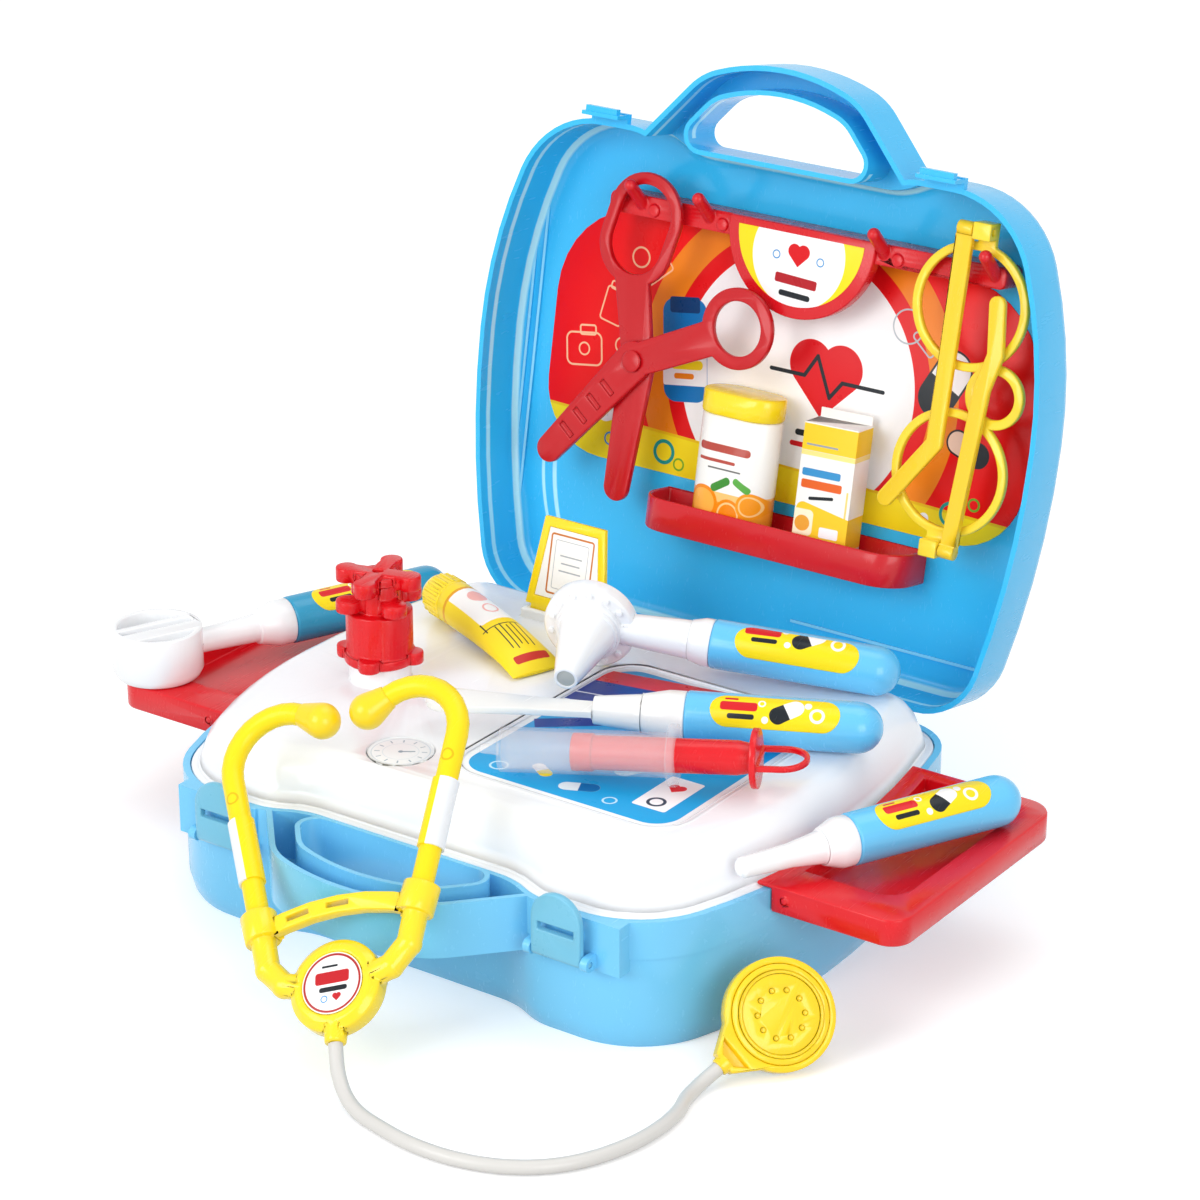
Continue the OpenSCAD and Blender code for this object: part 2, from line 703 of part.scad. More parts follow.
// Outline of the slanted oval loop, of half width r.
function loop_line(r) = concat(
    arc(long_c + long_up, r, -long_lean, 180 - long_lean, 18),
    arc(long_c - long_up, r, 180 - long_lean, 360 - long_lean, 18));
module scissor_half_long() color(toy_red) on_lid() {
    difference() {
        union() {
            plate(loop_line(long_r), loop_z, loop_top);
            bar(long_c - 2 * long_up, pivot, 17, 15, loop_z, loop_top);
            disc(pivot, blade_w / 2, loop_z, loop_top);
            bar(pivot, long_tip, blade_w, 2 * tip_r, loop_z, loop_top);
            disc(long_tip, tip_r, loop_z, loop_top);
        }
        plate(loop_line(long_r - long_band), loop_z - 1, loop_top + 1);
    }
    disc(pivot, pivot_r, loop_z + 1, loop_top + half_gap * 2 + loop_t + 1);
    disc(pivot, pivot_r + 1.6, loop_top + half_gap * 2 + loop_t, loop_top + half_gap * 2 + loop_t + 1.2);
}
module scissor_half_round() color(toy_red) on_lid() {
    z0 = loop_top + half_gap;
    z1 = z0 + loop_t;
    difference() {
        union() {
            disc(round_c, loop_r, z0, z1);
            bar(pivot, round_c - [12, 6], 14, 15, z0, z1);
            disc(pivot, blade_w / 2, z0, z1);
            bar(pivot, round_tip, blade_w, 2 * tip_r, z0, z1);
            disc(round_tip, tip_r, z0, z1);
        }
        disc(round_c, loop_r - 5.5, z0 - 1, z1 + 1);
        disc(pivot, pivot_r + pin_clear, z0 - 1, z1 + 1);
        for (k = [0.3:0.16:0.8]) bar(pivot + (round_tip - pivot) * k + [-3, 2.4],
            pivot + (round_tip - pivot) * k + [3, -2.4],
            2.4, 2.4, z1 - 0.8, z1 + 1);
    }
}

// Glasses, hung on the last peg by one ring.
ring_in = ring_r - ring_band;
glass_c = [94, peg_top + 0.7 - sqrt(ring_in * ring_in - 50)];
glass_d = 67.5;
glass_low = glass_c - [0, glass_d];
bridge_c = [110, glass_c.y - glass_d / 2];
temple_z = -6.5;
temple_t = 3;
temple_pin = 1.2;
temple_w = 7;
upper_s = glass_c.y + 31;
lower_s = glass_low.y - 31;
upper_x = 90;
lower_x = 100;

module glasses_frame() color(toy_yellow) on_lid() {
    difference() {
        union() {
            disc(glass_c, ring_r, loop_z, loop_top);
            disc(glass_low, ring_r, loop_z, loop_top);
            disc(bridge_c, 13, loop_z, loop_top);
        }
        disc(glass_c, ring_in, loop_z - 1, loop_top + 1);
        disc(glass_low, ring_in, loop_z - 1, loop_top + 1);
        disc(bridge_c, 9, loop_z - 1, loop_top + 1);
    }
    temple_lug(upper_x + 4, upper_s, 1);
    temple_lug(lower_x - 12, lower_s, -1);
}
// End block with the bore of one temple's pin; side is the way from the ring to the block.
module temple_lug(x, s, side) {
    difference() {
        union() {
            translate([x, s - 3.5, loop_z]) cube([8, 7, temple_z + 3 - loop_z]);
            translate([x, side > 0 ? s - 7 : s - 3.5, loop_z]) cube([8, 10.5, loop_t]);
        }
        translate([x - 1, s, temple_z]) rotate([0, 90, 0]) cylinder(r = temple_pin + pin_clear, h = 10);
    }
}
// A temple lies folded over the rings; dir is the way from its hinge, pin_x where its pin starts.
module temple(x, s, dir, pin_x, bends) {
    pts = concat([[x, s]], bends);
    z0 = temple_z - temple_t / 2;
    for (i = [0:len(bends) - 1]) {
        bar(pts[i], pts[i + 1], temple_w, temple_w, z0, z0 + temple_t);
        disc(pts[i + 1], temple_w / 2, z0, z0 + temple_t);
    }
    translate([x - temple_w / 2, s, temple_z]) rotate([0, 90, 0]) cylinder(r = 3, h = temple_w);
    translate([pin_x, s, temple_z]) rotate([0, 90, 0]) cylinder(r = temple_pin, h = 7.5);
}
module temple_upper() color(toy_yellow) on_lid()
    temple(upper_x, upper_s, -1, upper_x + 2.5, [[88, 112], [69, 86]]);
module temple_lower() color(toy_yellow) on_lid()
    temple(lower_x, lower_s, 1, lower_x - 10.5, [[106, 138], [110, 152], [108, 172]]);

// ---- Instruments ----

// Frame of a wand: z along it from its tip, -x up.
module along(p, yaw, pitch) {
    translate(p) rotate([0, 0, yaw]) rotate([0, 90 - pitch, 0]) children();
}
// Flat outline in that frame, points as [distance along, sideways], t thick.
module flat(pts, t) {
    translate([-t / 2, 0, 0]) rotate([0, 90, 0]) linear_extrude(t) polygon([for (p = pts) [-p.x, p.y]]);
}
module grip(z) color(sky) translate([0, 0, z]) rotate_extrude()
    polygon(concat([[0, 0], [grip_r - 0.8, 0], [grip_r, 0.8]], arc([0, grip_len - grip_r], grip_r, 0,
        90, 8)));

label_t = 0.25;
// Rounded label wrapped on a grip that starts at z, turned by roll from its upper side.
module grip_label(z, roll) color(toy_yellow) intersection() {
    translate([0, 0, z]) difference() {
        cylinder(r = grip_r + label_t, h = grip_len - grip_r);
        translate([0, 0, -1]) cylinder(r = grip_r, h = grip_len);
    }
    rotate([0, 0, roll]) translate([-grip_r - 1, 0, z + grip_len * 0.46]) rotate([0, 90, 0])
        linear_extrude(grip_r) polygon(stadium([0, 0], 50, 13));
}
module ferrule(z0, z1, r0, r1) {
    translate([0, 0, z0]) cylinder(r1 = r0, r2 = r1, h = (z1 - z0) * 0.6);
    translate([0, 0, z0 + (z1 - z0) * 0.6]) cylinder(r = r1, h = (z1 - z0) * 0.4);
}

// Reflex hammer, lying over the left tray.
hammer_p = [-half_w - 42.7, -26, tray_top + rest_gap + grip_r];
hammer_yaw = 66.5;
hammer_r = 18.7;
hammer_h = 21;
hammer_grip_z = 60;
module hammer_place() { along(hammer_p, hammer_yaw, 0) children(); }
module hammer_head() color(toy_white) {
    translate([hammer_p.x, hammer_p.y, hammer_p.z - grip_r]) difference() {
        union() {
            cylinder(r1 = hammer_r - 1.5, r2 = hammer_r, h = 3);
            translate([0, 0, 3]) cylinder(r = hammer_r, h = hammer_h - 3);
        }
        intersection() {
            translate([0, 0, hammer_h - 14]) cylinder(r = hammer_r - 2.5, h = 15);
            rotate([0, 0, hammer_yaw]) translate([-30, 5, 0]) cube([60, 40, 40]);
        }
        intersection() {
            translate([0, 0, hammer_h - 5]) cylinder(r = hammer_r - 2.5, h = 7);
            rotate([0, 0, hammer_yaw]) translate([-30, -2, 0]) cube([60, 4, 40]);
        }
        intersection() {
            translate([0, 0, hammer_h - 7]) cylinder(r = hammer_r - 2.5, h = 8);
            rotate([0, 0, hammer_yaw]) translate([-30, -45, 0]) cube([60, 35, 40]);
        }
    }
    hammer_place() {
        translate([0, 0, hammer_r - 2.2]) cylinder(r1 = 5, r2 = 6, h = hammer_grip_z - 15 - hammer_r + 2.7);
        ferrule(hammer_grip_z - 15, hammer_grip_z, 7, grip_r - 0.3);
    }
}
module hammer_grip() hammer_place() grip(hammer_grip_z);
module hammer_label() hammer_place() grip_label(hammer_grip_z, 25);

// Thermometer, lying over the right tray.
thermo_p = [half_w - 9, -54.2, tray_top + rest_gap + grip_r];
thermo_grip_z = 47.5;
module thermo_place() { along(thermo_p, 64.6, 0) children(); }
module thermometer_probe() color(toy_white) thermo_place() {
    rotate_extrude() polygon([[0, 0], [2.6, 0], [4, 1.6], [4.6, 22], [6.4, 36], [0, 36]]);
    ferrule(thermo_grip_z - 12, thermo_grip_z, 7, grip_r - 0.3);
}
module thermometer_grip() thermo_place() grip(thermo_grip_z);
module thermometer_label() thermo_place() grip_label(thermo_grip_z, 25);

// Otoscope, standing on the rim of its head.
head_r = 18.8;
oto_z = table_z + head_r + rest_gap;
oto_grip_z = 50;
grip_rest = table_z + 0.5 + rest_gap + grip_r;
oto_pitch = -asin((oto_z - grip_rest) / (oto_grip_z + grip_len - grip_r));
cone_len = 40;
module oto_place() { along([-12, 49, oto_z], 21, oto_pitch) children(); }
module oto_head_place() { oto_place() rotate([0, 0, 11]) rotate([90, 0, 0]) children(); }
module otoscope_head() color(toy_white) {
    oto_place() {
        translate([0, 0, 6]) cylinder(r1 = 6, r2 = 8, h = 36.5);
        ferrule(oto_grip_z - 9, oto_grip_z, 8.2, grip_r - 0.3);
    }
    oto_head_place() {
        difference() {
            rotate_extrude() polygon([[0, -8], [7, -7.4], [11, -5.5], [13, -4], [head_r - 1, -4],
                [head_r, -3], [head_r, 3],
                [head_r - 1, 4], [13.6, 4], [13.6, 6.6], [12.6, 6.6], [12.6, 8.6], [11.6, 8.6], [4.8,
                    cone_len], [0, cone_len]]);
            translate([0, 0, cone_len - 1]) cylinder(r = 3.6, h = 2);
        }
        for (k = [0:13]) rotate([0, 0, k * 360 / 14]) translate([15.8, 0, 3]) cylinder(r = 1.3, h = 2);
    }
}
module otoscope_lens() color("#B9BCB8") oto_head_place() translate([0, 0,
    cone_len - 1]) cylinder(r = 3.6, h = 0.6);
module otoscope_grip() oto_place() grip(oto_grip_z);
module otoscope_label() oto_place() grip_label(oto_grip_z, 45);

// Tongue depressor, lying on its grip.
dep_p = [-33, -32.6, grip_rest];
dep_grip_z = 102;
module dep_place() { along(dep_p, 25.8, 0) children(); }
module depressor_blade() color("#F3EFE6") dep_place() {
    flat(concat(arc([9, 0], 9, 90, 270, 12), [[40, -6], [70, -5], [70, 5], [40, 6]]), 3);
    translate([0, 0, 66]) cylinder(r1 = 5.5, r2 = 7.5, h = 20);
    ferrule(dep_grip_z - 17, dep_grip_z, 7.6, grip_r - 0.3);
}
module depressor_grip() dep_place() grip(dep_grip_z);
module depressor_label() dep_place() grip_label(dep_grip_z, 43);

// Syringe, lying on the print with its flange and barrel.
flange_r = 12;
nozzle_len = 8;
barrel_end = 76;
syr_rest = table_z + 0.5 + rest_gap;
syr_pitch = asin((flange_r - barrel_r) / (barrel_end - nozzle_len));
syr_p = [9, -54, syr_rest + barrel_r - nozzle_len * sin(syr_pitch)];
barrel_in = barrel_r - 1.3;
module syr_place() { along(syr_p, 24.1, syr_pitch) children(); }
module syringe_barrel() color("#EDEFF2") syr_place() difference() {
    union() {
        cylinder(r1 = 1.8, r2 = 2.6, h = nozzle_len + 1);
        translate([0, 0, nozzle_len]) cylinder(r = barrel_r, h = barrel_end - nozzle_len);
        translate([0, 0, barrel_end - 3]) cylinder(r = flange_r, h = 3);
    }
    translate([0, 0, nozzle_len + 1.5]) cylinder(r = barrel_in, h = barrel_end);
}
module syringe_plunger() color(toy_red) syr_place() {
    thumb_z = barrel_end + plunger_out;
    translate([0, 0, 36]) cylinder(r = barrel_in - pin_clear, h = 8);
    translate([0, 0, 43]) cylinder(r = barrel_in - 0.7, h = thumb_z - 51);
    translate([0, 0, thumb_z - 8]) cylinder(r1 = barrel_in - 0.7, r2 = barrel_in - 2, h = 7);
    translate([0, 0, thumb_z - 2.5]) cylinder(r = flange_r - 0.5, h = 2.5);
    difference() {
        flat(concat(arc([thumb_z + 9, 0], 10, -90, 90, 16), [[thumb_z - 1, 10], [thumb_z - 1, -10]]),
            2.2);
        flat(concat(arc([thumb_z + 9, 0], 8, -90, 90, 16), [[thumb_z + 1, 8], [thumb_z + 1, -8]]), 4);
    }
}

// Ointment tube with a turning cap.
cap_r = 9.5;
cap_len = 14;
tube_len = 62;
crimp_w = 24;
spout_r = 5;
tube_p = [-96, 57, table_z + rest_gap + cap_r];
module tube_place() { along(tube_p, -20.8, 0) children(); }
function tube_ring(z, w, h) = [for (a = [0:15:345]) [cap_r - 0.2 - h + h * cos(a), w * sin(a), z]];
module ointment_tube() color(toy_yellow) tube_place() {
    loft([for (k = [0:0.125:1]) tube_ring(cap_len + 0.3 + tube_len * k,
        9.2 + (crimp_w / 2 - 9.2) * k, 9.2 * sqrt(1 - k * k * 0.86) - 2.6 * k)]);
    translate([0, 0, 2]) cylinder(r = spout_r, h = cap_len);
}
module ointment_cap() color(toy_yellow) tube_place() difference() {
    union() {
        cylinder(r1 = cap_r - 2, r2 = cap_r - 0.6, h = 3);
        translate([0, 0, 3]) cylinder(r = cap_r - 0.6, h = cap_len - 3);
        for (k = [0:17]) rotate([0, 0, k * 20]) translate([cap_r - 0.9, 0, 3]) cylinder(r = 0.8,
            h = cap_len - 4);
    }
    translate([0, 0, 1.5]) cylinder(r = spout_r + pin_clear, h = cap_len);
}

// Standing chart.
chart_h = 42;
module chart_plate(pts, y0, y1) {
    translate([0, y1, 0]) rotate([90, 0, 0]) linear_extrude(y1 - y0) polygon(pts);
}
module chart_frame() color(toy_yellow) on_chart() difference() {
    union() {
        chart_plate([[-chart_w / 2, 0], [chart_w / 2, 0], [chart_w / 2, 4], [-chart_w / 2, 4]],
            -chart_t / 2, chart_t / 2);
        chart_plate([[-20, 4], [20, 4], [15, chart_h], [-15, chart_h]], -chart_t / 2, chart_t / 2);
    }
    chart_plate([[-16, 8], [16, 8], [12, chart_h - 4], [-12, chart_h - 4]], -chart_t / 2 - 1,
        -chart_t / 2 + 0.6);
}
module chart_card() color(toy_white) on_chart()
    chart_plate([[-15.8, 8.2], [15.8, 8.2], [11.9, chart_h - 4.2], [-11.9, chart_h - 4.2]],
        -chart_t / 2 + 0.3, -chart_t / 2 + 0.6);

// ---- Stethoscope: x across it, y towards the ear tips, z out of its face ----

collar = [32, 29];
bend_start = [46.5, 93];
bend_r = 20;
bend_a0 = atan2(bend_start.y - collar.y, bend_start.x - collar.x) - 90;
bend_a1 = 117;
bend_c = bend_start - bend_r * [cos(bend_a0), sin(bend_a0)];
bend_end = bend_c + bend_r * [cos(bend_a1), sin(bend_a1)];
tube_dir = (bend_start - collar) / norm(bend_start - collar);
badge_t = 9;
scope_p = [21.8, -handle_y - 27.2, base_h - 22.7];
scope_lean = 43;
scope_roll = 27.7;
function unit(v) = v / norm(v);
function scope_dir(v) = v.x * [cos(scope_roll), sin(scope_roll) * cos(scope_lean),
    sin(scope_roll) * sin(scope_lean)] + v.y * [-sin(scope_roll), cos(scope_roll) * cos(scope_lean),
    cos(scope_roll) * sin(scope_lean)] + v.z * [0, -sin(scope_lean), cos(scope_lean)];
// The gland that the hose leaves from stands out of the badge's lower edge.
gland_dir = [0, -1, 0];
gland_end = [0, 3 - badge_r, 0] + 7 * gland_dir;
module scope_frame() { translate(scope_p) rotate([scope_lean, 0, 0]) rotate([0, 0,
    scope_roll]) children(); }
function up3(p, z = 0) = [p.x, p.y, z];

module scope_yoke() color(toy_yellow) scope_frame() difference() {
    union() {
        translate([0, 0, -badge_t / 2]) cylinder(r = badge_r, h = badge_t - 2.5);
        translate([0, 0, badge_t / 2 - 2.5]) cylinder(r1 = badge_r, r2 = badge_r - 3, h = 2.5);
        rod([0, 3 - badge_r, 0], gland_end, 4.5, 4);
        for (s = [-1, 1]) {
            arm = [for (p = [[31, 24], [28.5, 12], [21.5, 4.5], [10, 1]]) [s * p.x, p.y, 0]];
            for (i = [0:2]) rod(arm[i], arm[i + 1], 4.7);
            for (i = [1, 2]) translate(arm[i]) sphere(r = 4.9);
            rod(up3([s * (collar.x - 1.5), collar.y - 5.5]), up3([s * (collar.x + 1.5),
                collar.y + 5.5]), 7);
        }
    }
    translate([0, 0, badge_t / 2 - 0.6]) cylinder(r = badge_r - 5.8, h = 2);
}
module scope_badge() color(toy_white) scope_frame()
    translate([0, 0, badge_t / 2 - 0.6]) cylinder(r = badge_r - 6, h = 0.4);

// Ring of an ear tube about p, where a is the direction across the tube.
function tube_ring_at(p, a) = [for (k = [0:15]) let (b = k * 22.5)
    [p.x + ear_tube_r * cos(b) * cos(a), p.y + ear_tube_r * cos(b) * sin(a), -ear_tube_r * sin(b)]];
// One ear tube on side s, from the collar's top to the ear tip.
module ear_tube(s) color(toy_yellow) scope_frame() mirror([s < 0 ? 1 : 0, 0, 0]) {
    bend = [for (k = [0:10]) bend_a0 + (bend_a1 - bend_a0) * k / 10];
    loft(concat([tube_ring_at(collar + tube_dir * 5.7, bend_a0)],
        [for (a = bend) tube_ring_at(bend_c + bend_r * [cos(a), sin(a)], a)]));
}
module ear_tube_left() ear_tube(-1);
module ear_tube_right() ear_tube(1);

module sleeve(s) color("#E9ECEF") scope_frame() mirror([s < 0 ? 1 : 0, 0, 0]) difference() {
    rod(up3(collar + tube_dir * 20), up3(collar + tube_dir * 47), ear_tube_r + 0.8);
    rod(up3(collar + tube_dir * 19), up3(collar + tube_dir * 48), ear_tube_r);
}
module sleeve_left() sleeve(-1);
module sleeve_right() sleeve(1);

tip_dir = [-sin(bend_a1), cos(bend_a1)];
module ear_tip(s) color(toy_yellow) scope_frame() mirror([s < 0 ? 1 : 0, 0, 0]) {
    rod(up3(bend_end), up3(bend_end + tip_dir * 7), ear_tube_r + 0.4, 6.6);
    translate(up3(bend_end + tip_dir * 9.5)) sphere(r = 7);
}
module ear_tip_left() ear_tip(-1);
module ear_tip_right() ear_tip(1);

// Slotted spring between the collars.
spring_r = 85;
module spring_bar() color(toy_yellow) scope_frame() difference() {
    intersection() {
        translate([0, 32.5 - spring_r, -2.5]) difference() {
            cylinder(r = spring_r + 3.5, h = 5);
            translate([0, 0, -1]) cylinder(r = spring_r - 3.5, h = 7);
        }
        plate([[-25.3, 20], [25.3, 20], [26.5, 40], [-26.5, 40]], -6, 6);
    }
    for (a = [0, 11]) translate([0, 32.5 - spring_r, 0]) rotate([0, 0, a]) translate([-4.5, spring_r - 1,
        -6]) cube([9, 2, 12]);
    for (s = [-1, 1]) rod(up3([s * (collar.x - 1.5), collar.y - 5.5]), up3([s * (collar.x + 1.5),
        collar.y + 5.5]), 7);
}

// Chest piece: x towards its stem, z out of its face.
chest_tilt = 56.4;
chest_t = 6;
chest_z = chest_r * sin(chest_tilt) + chest_t / 2 * cos(chest_tilt) + 0.4;
chest_p = [half_w + 18, -67.5, chest_z];
chest_yaw = -38;
chest_spin = -58.8;
stem_x = cos(chest_spin) * cos(chest_tilt);
stem_y = sin(chest_spin);
stem_dir = [stem_x * cos(chest_yaw) - stem_y * sin(chest_yaw),
    stem_x * sin(chest_yaw) + stem_y * cos(chest_yaw), -cos(chest_spin) * sin(chest_tilt)];
stem_end = chest_r + 9;

// Hose along a chain of points, as a smooth curve through them.
hose_start = scope_p + scope_dir(gland_end);
hose_end = chest_p + stem_end * stem_dir;
// A point beside one end of the hose, where k falls from 1 at that end to 0 on the floor.
function beside(p, x, y, k) = [p.x + x, p.y + y, 3 + k * (p.z - 3)];
hose_path = [hose_start + 0.1 * scope_dir(gland_dir), beside(hose_start, 5.7, -6, 0.52),
    beside(hose_start, 13, -11, 0.17), beside(hose_start, 22, -15, 0.02), [66, -190.5, 3],
    [81, -193, 3], [98, -192.5, 3], [half_w - 20, -187.5, 3], [half_w - 6, -178, 3],
    [half_w + 3.5, -165, 3], [half_w + 9.5, -149, 3], [half_w + 11.5, -134, 3],
    [half_w + 10.6, -121.5, 3], beside(hose_end, -1, -19.4, 0.03), beside(hose_end, -1.9, -11.4, 0.12),
    beside(hose_end, -1.4, -5.3, 0.46), hose_end + 0.3 * stem_dir];
hose_steps = 3;
hose_sides = 10;
function hose_at(i, t) = let (n = len(hose_path) - 1, a = hose_path[max(i - 1, 0)], b = hose_path[i],
    c = hose_path[min(i + 1, n)], d = hose_path[min(i + 2, n)])
    b + t * (c - a) / 2 + t * t * (a - 2.5 * b + 2 * c - 0.5 * d) + t * t * t * (-0.5 * a + 1.5 * b -
        1.5 * c + 0.5 * d);
hose_pts = concat([for (i = [0:len(hose_path) - 2]) for (k = [0:hose_steps - 1]) hose_at(i,
    k / hose_steps)],
    [hose_path[len(hose_path) - 1]]);
function hose_ring(i) = let (n = len(hose_pts) - 1, t = unit(hose_pts[min(i + 1,
    n)] - hose_pts[max(i - 1, 0)]),
    u = unit(cross([0, 0, 1], t)), v = cross(t, u))
    [for (k = [0:hose_sides - 1]) let (a = 360 * k / hose_sides) hose_pts[i] + hose_r * (cos(a) * u +
        sin(a) * v)];
module scope_hose() color("#E4E6E8") loft([for (i = [0:len(hose_pts) - 1]) hose_ring(i)]);

// Place of the chest piece.
module chest_frame() {
    translate(chest_p) rotate([0, chest_tilt, chest_yaw]) rotate([0, 0, chest_spin]) children();
}
module chest_cup() color(toy_yellow) chest_frame() {
    difference() {
        union() {
            translate([0, 0, -chest_t / 2]) cylinder(r = chest_r, h = chest_t);
            bar([chest_r - 8, 0], [chest_r + 7, 0], 28, 9, -chest_t / 2, chest_t / 2);
        }
        translate([0, 0, chest_t / 2 - 1]) cylinder(r = chest_r - 2.5, h = 2);
        bar([chest_r + 1, 0], [chest_r + 5, 0], 14, 6, 0, chest_t);
    }
    rod([chest_r + 5, 0, 0], [stem_end, 0, 0], 3.8, 3.4);
}
module chest_disc() color(toy_yellow) chest_frame() difference() {
    translate([0, 0, chest_t / 2 - 1]) cylinder(r = chest_r - 2.7, h = 1.4);
    translate([0, 0, chest_t / 2 + 0.15]) difference() {
        cylinder(r = chest_r - 5, h = 2);
        translate([0, 0, -1]) cylinder(r = chest_r - 6.2, h = 4);
    }
    for (k = [0:9]) rotate([0, 0, k * 36]) translate([9, 0, chest_t / 2 + 0.1]) cylinder(r = 0.9, h = 2);
}

base_shell();
table_insert();
table_print();
dial_disc();
hinge_pins();
lid_shell();
lid_print();
hook_rail();
shield_label();
lid_shelf();
latch_left();
latch_right();
tray_left();
tray_right();
carousel();
hammer_head();
hammer_grip();
hammer_label();
thermometer_probe();
thermometer_grip();
thermometer_label();
otoscope_head();
otoscope_lens();
otoscope_grip();
otoscope_label();
depressor_blade();
depressor_grip();
depressor_label();
syringe_barrel();
syringe_plunger();
ointment_tube();
ointment_cap();
chart_frame();
chart_card();
scope_yoke();
scope_badge();
spring_bar();
ear_tube_left();
ear_tube_right();
sleeve_left();
sleeve_right();
ear_tip_left();
ear_tip_right();
scope_hose();
chest_cup();
chest_disc();
scissor_half_long();
scissor_half_round();
glasses_frame();
temple_upper();
temple_lower();
pill_bottle();
bottle_cap();
carton();
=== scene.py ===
import math

import bpy
from mathutils import Matrix, Vector


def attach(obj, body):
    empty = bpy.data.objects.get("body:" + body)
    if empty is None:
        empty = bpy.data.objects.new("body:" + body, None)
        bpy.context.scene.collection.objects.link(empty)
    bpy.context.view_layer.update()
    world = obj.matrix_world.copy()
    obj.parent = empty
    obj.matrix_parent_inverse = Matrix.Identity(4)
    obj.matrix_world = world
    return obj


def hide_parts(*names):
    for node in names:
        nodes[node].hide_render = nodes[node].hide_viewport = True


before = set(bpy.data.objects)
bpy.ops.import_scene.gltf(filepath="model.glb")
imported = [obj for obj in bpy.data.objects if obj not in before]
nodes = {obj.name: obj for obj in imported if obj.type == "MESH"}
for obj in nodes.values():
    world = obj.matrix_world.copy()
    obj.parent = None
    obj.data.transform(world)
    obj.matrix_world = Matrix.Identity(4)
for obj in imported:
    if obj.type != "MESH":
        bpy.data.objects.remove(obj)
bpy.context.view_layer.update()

# ---- Base shell ----
# The lower half of the case: one sky-blue injection moulding in glossy polypropylene, with half
# of the carrying handle and the ears for the latches. The small functions that shade it start
# here, since the other pieces are shaded in the same way.


def ink(code):
    """Linear colour from a hex code."""
    parts = [int(code[i : i + 2], 16) / 255 for i in (1, 3, 5)]
    return tuple(c / 12.92 if c < 0.04045 else ((c + 0.055) / 1.055) ** 2.4 for c in parts) + (1,)


def put(tree, kind, inputs=(), **settings):
    """Adds a shader node; inputs maps socket names or numbers to values or to other sockets."""
    made = tree.nodes.new("ShaderNode" + kind)
    for key, value in settings.items():
        setattr(made, key, value)
    for key, value in dict(inputs).items():
        socket = made.inputs[key]
        if isinstance(value, bpy.types.NodeSocket):
            tree.links.new(value, socket)
        else:
            socket.default_value = value
    return made


def maths(tree, operation, a, b=0.0, c=0.0, clamp=False):
    """One scalar sum in the shader."""
    made = put(tree, "Math", {0: a, 1: b, 2: c}, operation=operation, use_clamp=clamp)
    return made.outputs[0]


def vector(tree, operation, a, b=None, out=0):
    """One vector sum in the shader."""
    inputs = {0: a} if b is None else {0: a, 1: b}
    return put(tree, "VectorMath", inputs, operation=operation).outputs[out]


def effect(name, inputs, outputs):
    """An empty node group with named inputs (name, kind, value) and outputs (name, kind)."""
    tree = bpy.data.node_groups.new(name, "ShaderNodeTree")
    for label, kind, value in inputs:
        socket = tree.interface.new_socket(label, in_out="INPUT", socket_type="NodeSocket" + kind)
        socket.default_value = value
    for label, kind in outputs:
        tree.interface.new_socket(label, in_out="OUTPUT", socket_type="NodeSocket" + kind)
    return tree, tree.nodes.new("NodeGroupInput").outputs, tree.nodes.new("NodeGroupOutput").inputs


def use(tree, group, **inputs):
    """Places an effect in a material; inputs are written with _ for spaces."""
    made = tree.nodes.new("ShaderNodeGroup")
    made.node_tree = group
    for key, value in inputs.items():
        socket = made.inputs[key.replace("_", " ")]
        if isinstance(value, bpy.types.NodeSocket):
            tree.links.new(value, socket)
        else:
            socket.default_value = value
    return made


# Moulded plastic is never quite even: the colour clouds a little, the gloss dulls in soft patches
# and hair-fine scuffs, and the skin keeps the faint ripple of the polished mould.
moulded, given, out = effect(
    "moulded plastic",
    [
        ("Colour", "Color", (0.8, 0.8, 0.8, 1)),
        ("Clouding", "Float", 0.05),
        ("Roughness", "Float", 0.25),
        ("Scuffs", "Float", 0.06),
        ("Ripple", "Float", 0.15),
        ("Scale", "Float", 1.0),
    ],
    [("Colour", "Color"), ("Roughness", "Float"), ("Normal", "Vector")],
)
spot = put(moulded, "TexCoord").outputs["Object"]
scaled = vector(moulded, "SCALE", spot)
moulded.links.new(given["Scale"], scaled.node.inputs["Scale"])
clouds = put(moulded, "TexNoise", {"Vector": scaled, "Scale": 34.0, "Detail": 3.0, "Roughness": 0.55})
shade = maths(moulded, "MULTIPLY_ADD", clouds.outputs["Fac"], given["Clouding"], 1.0)
shade = maths(moulded, "MULTIPLY_ADD", given["Clouding"], -0.5, shade)
tint = put(moulded, "HueSaturation", {"Color": given["Colour"], "Value": shade})
moulded.links.new(tint.outputs[0], out["Colour"])
stretch = {"Vector": scaled, "Scale": (900.0, 60.0, 300.0), "Rotation": (0.3, 0.5, 0.9)}
drawn = put(moulded, "Mapping", stretch)
hairs = put(moulded, "TexNoise", {"Vector": drawn.outputs[0], "Scale": 1.0, "Detail": 2.0})
hairs = put(moulded, "MapRange", {"Value": hairs.outputs["Fac"], "From Min": 0.62, "From Max": 0.74})
patches = put(moulded, "TexNoise", {"Vector": scaled, "Scale": 60.0, "Detail": 4.0, "Roughness": 0.6})
dull = maths(moulded, "MULTIPLY_ADD", patches.outputs["Fac"], 0.12, given["Roughness"])
dull = maths(moulded, "MULTIPLY_ADD", hairs.outputs[0], given["Scuffs"], dull)
moulded.links.new(maths(moulded, "SUBTRACT", dull, 0.05, clamp=True), out["Roughness"])
skin = put(moulded, "TexNoise", {"Vector": scaled, "Scale": 420.0, "Detail": 2.0, "Roughness": 0.4})
sink = put(moulded, "TexNoise", {"Vector": scaled, "Scale": 55.0, "Detail": 1.0})
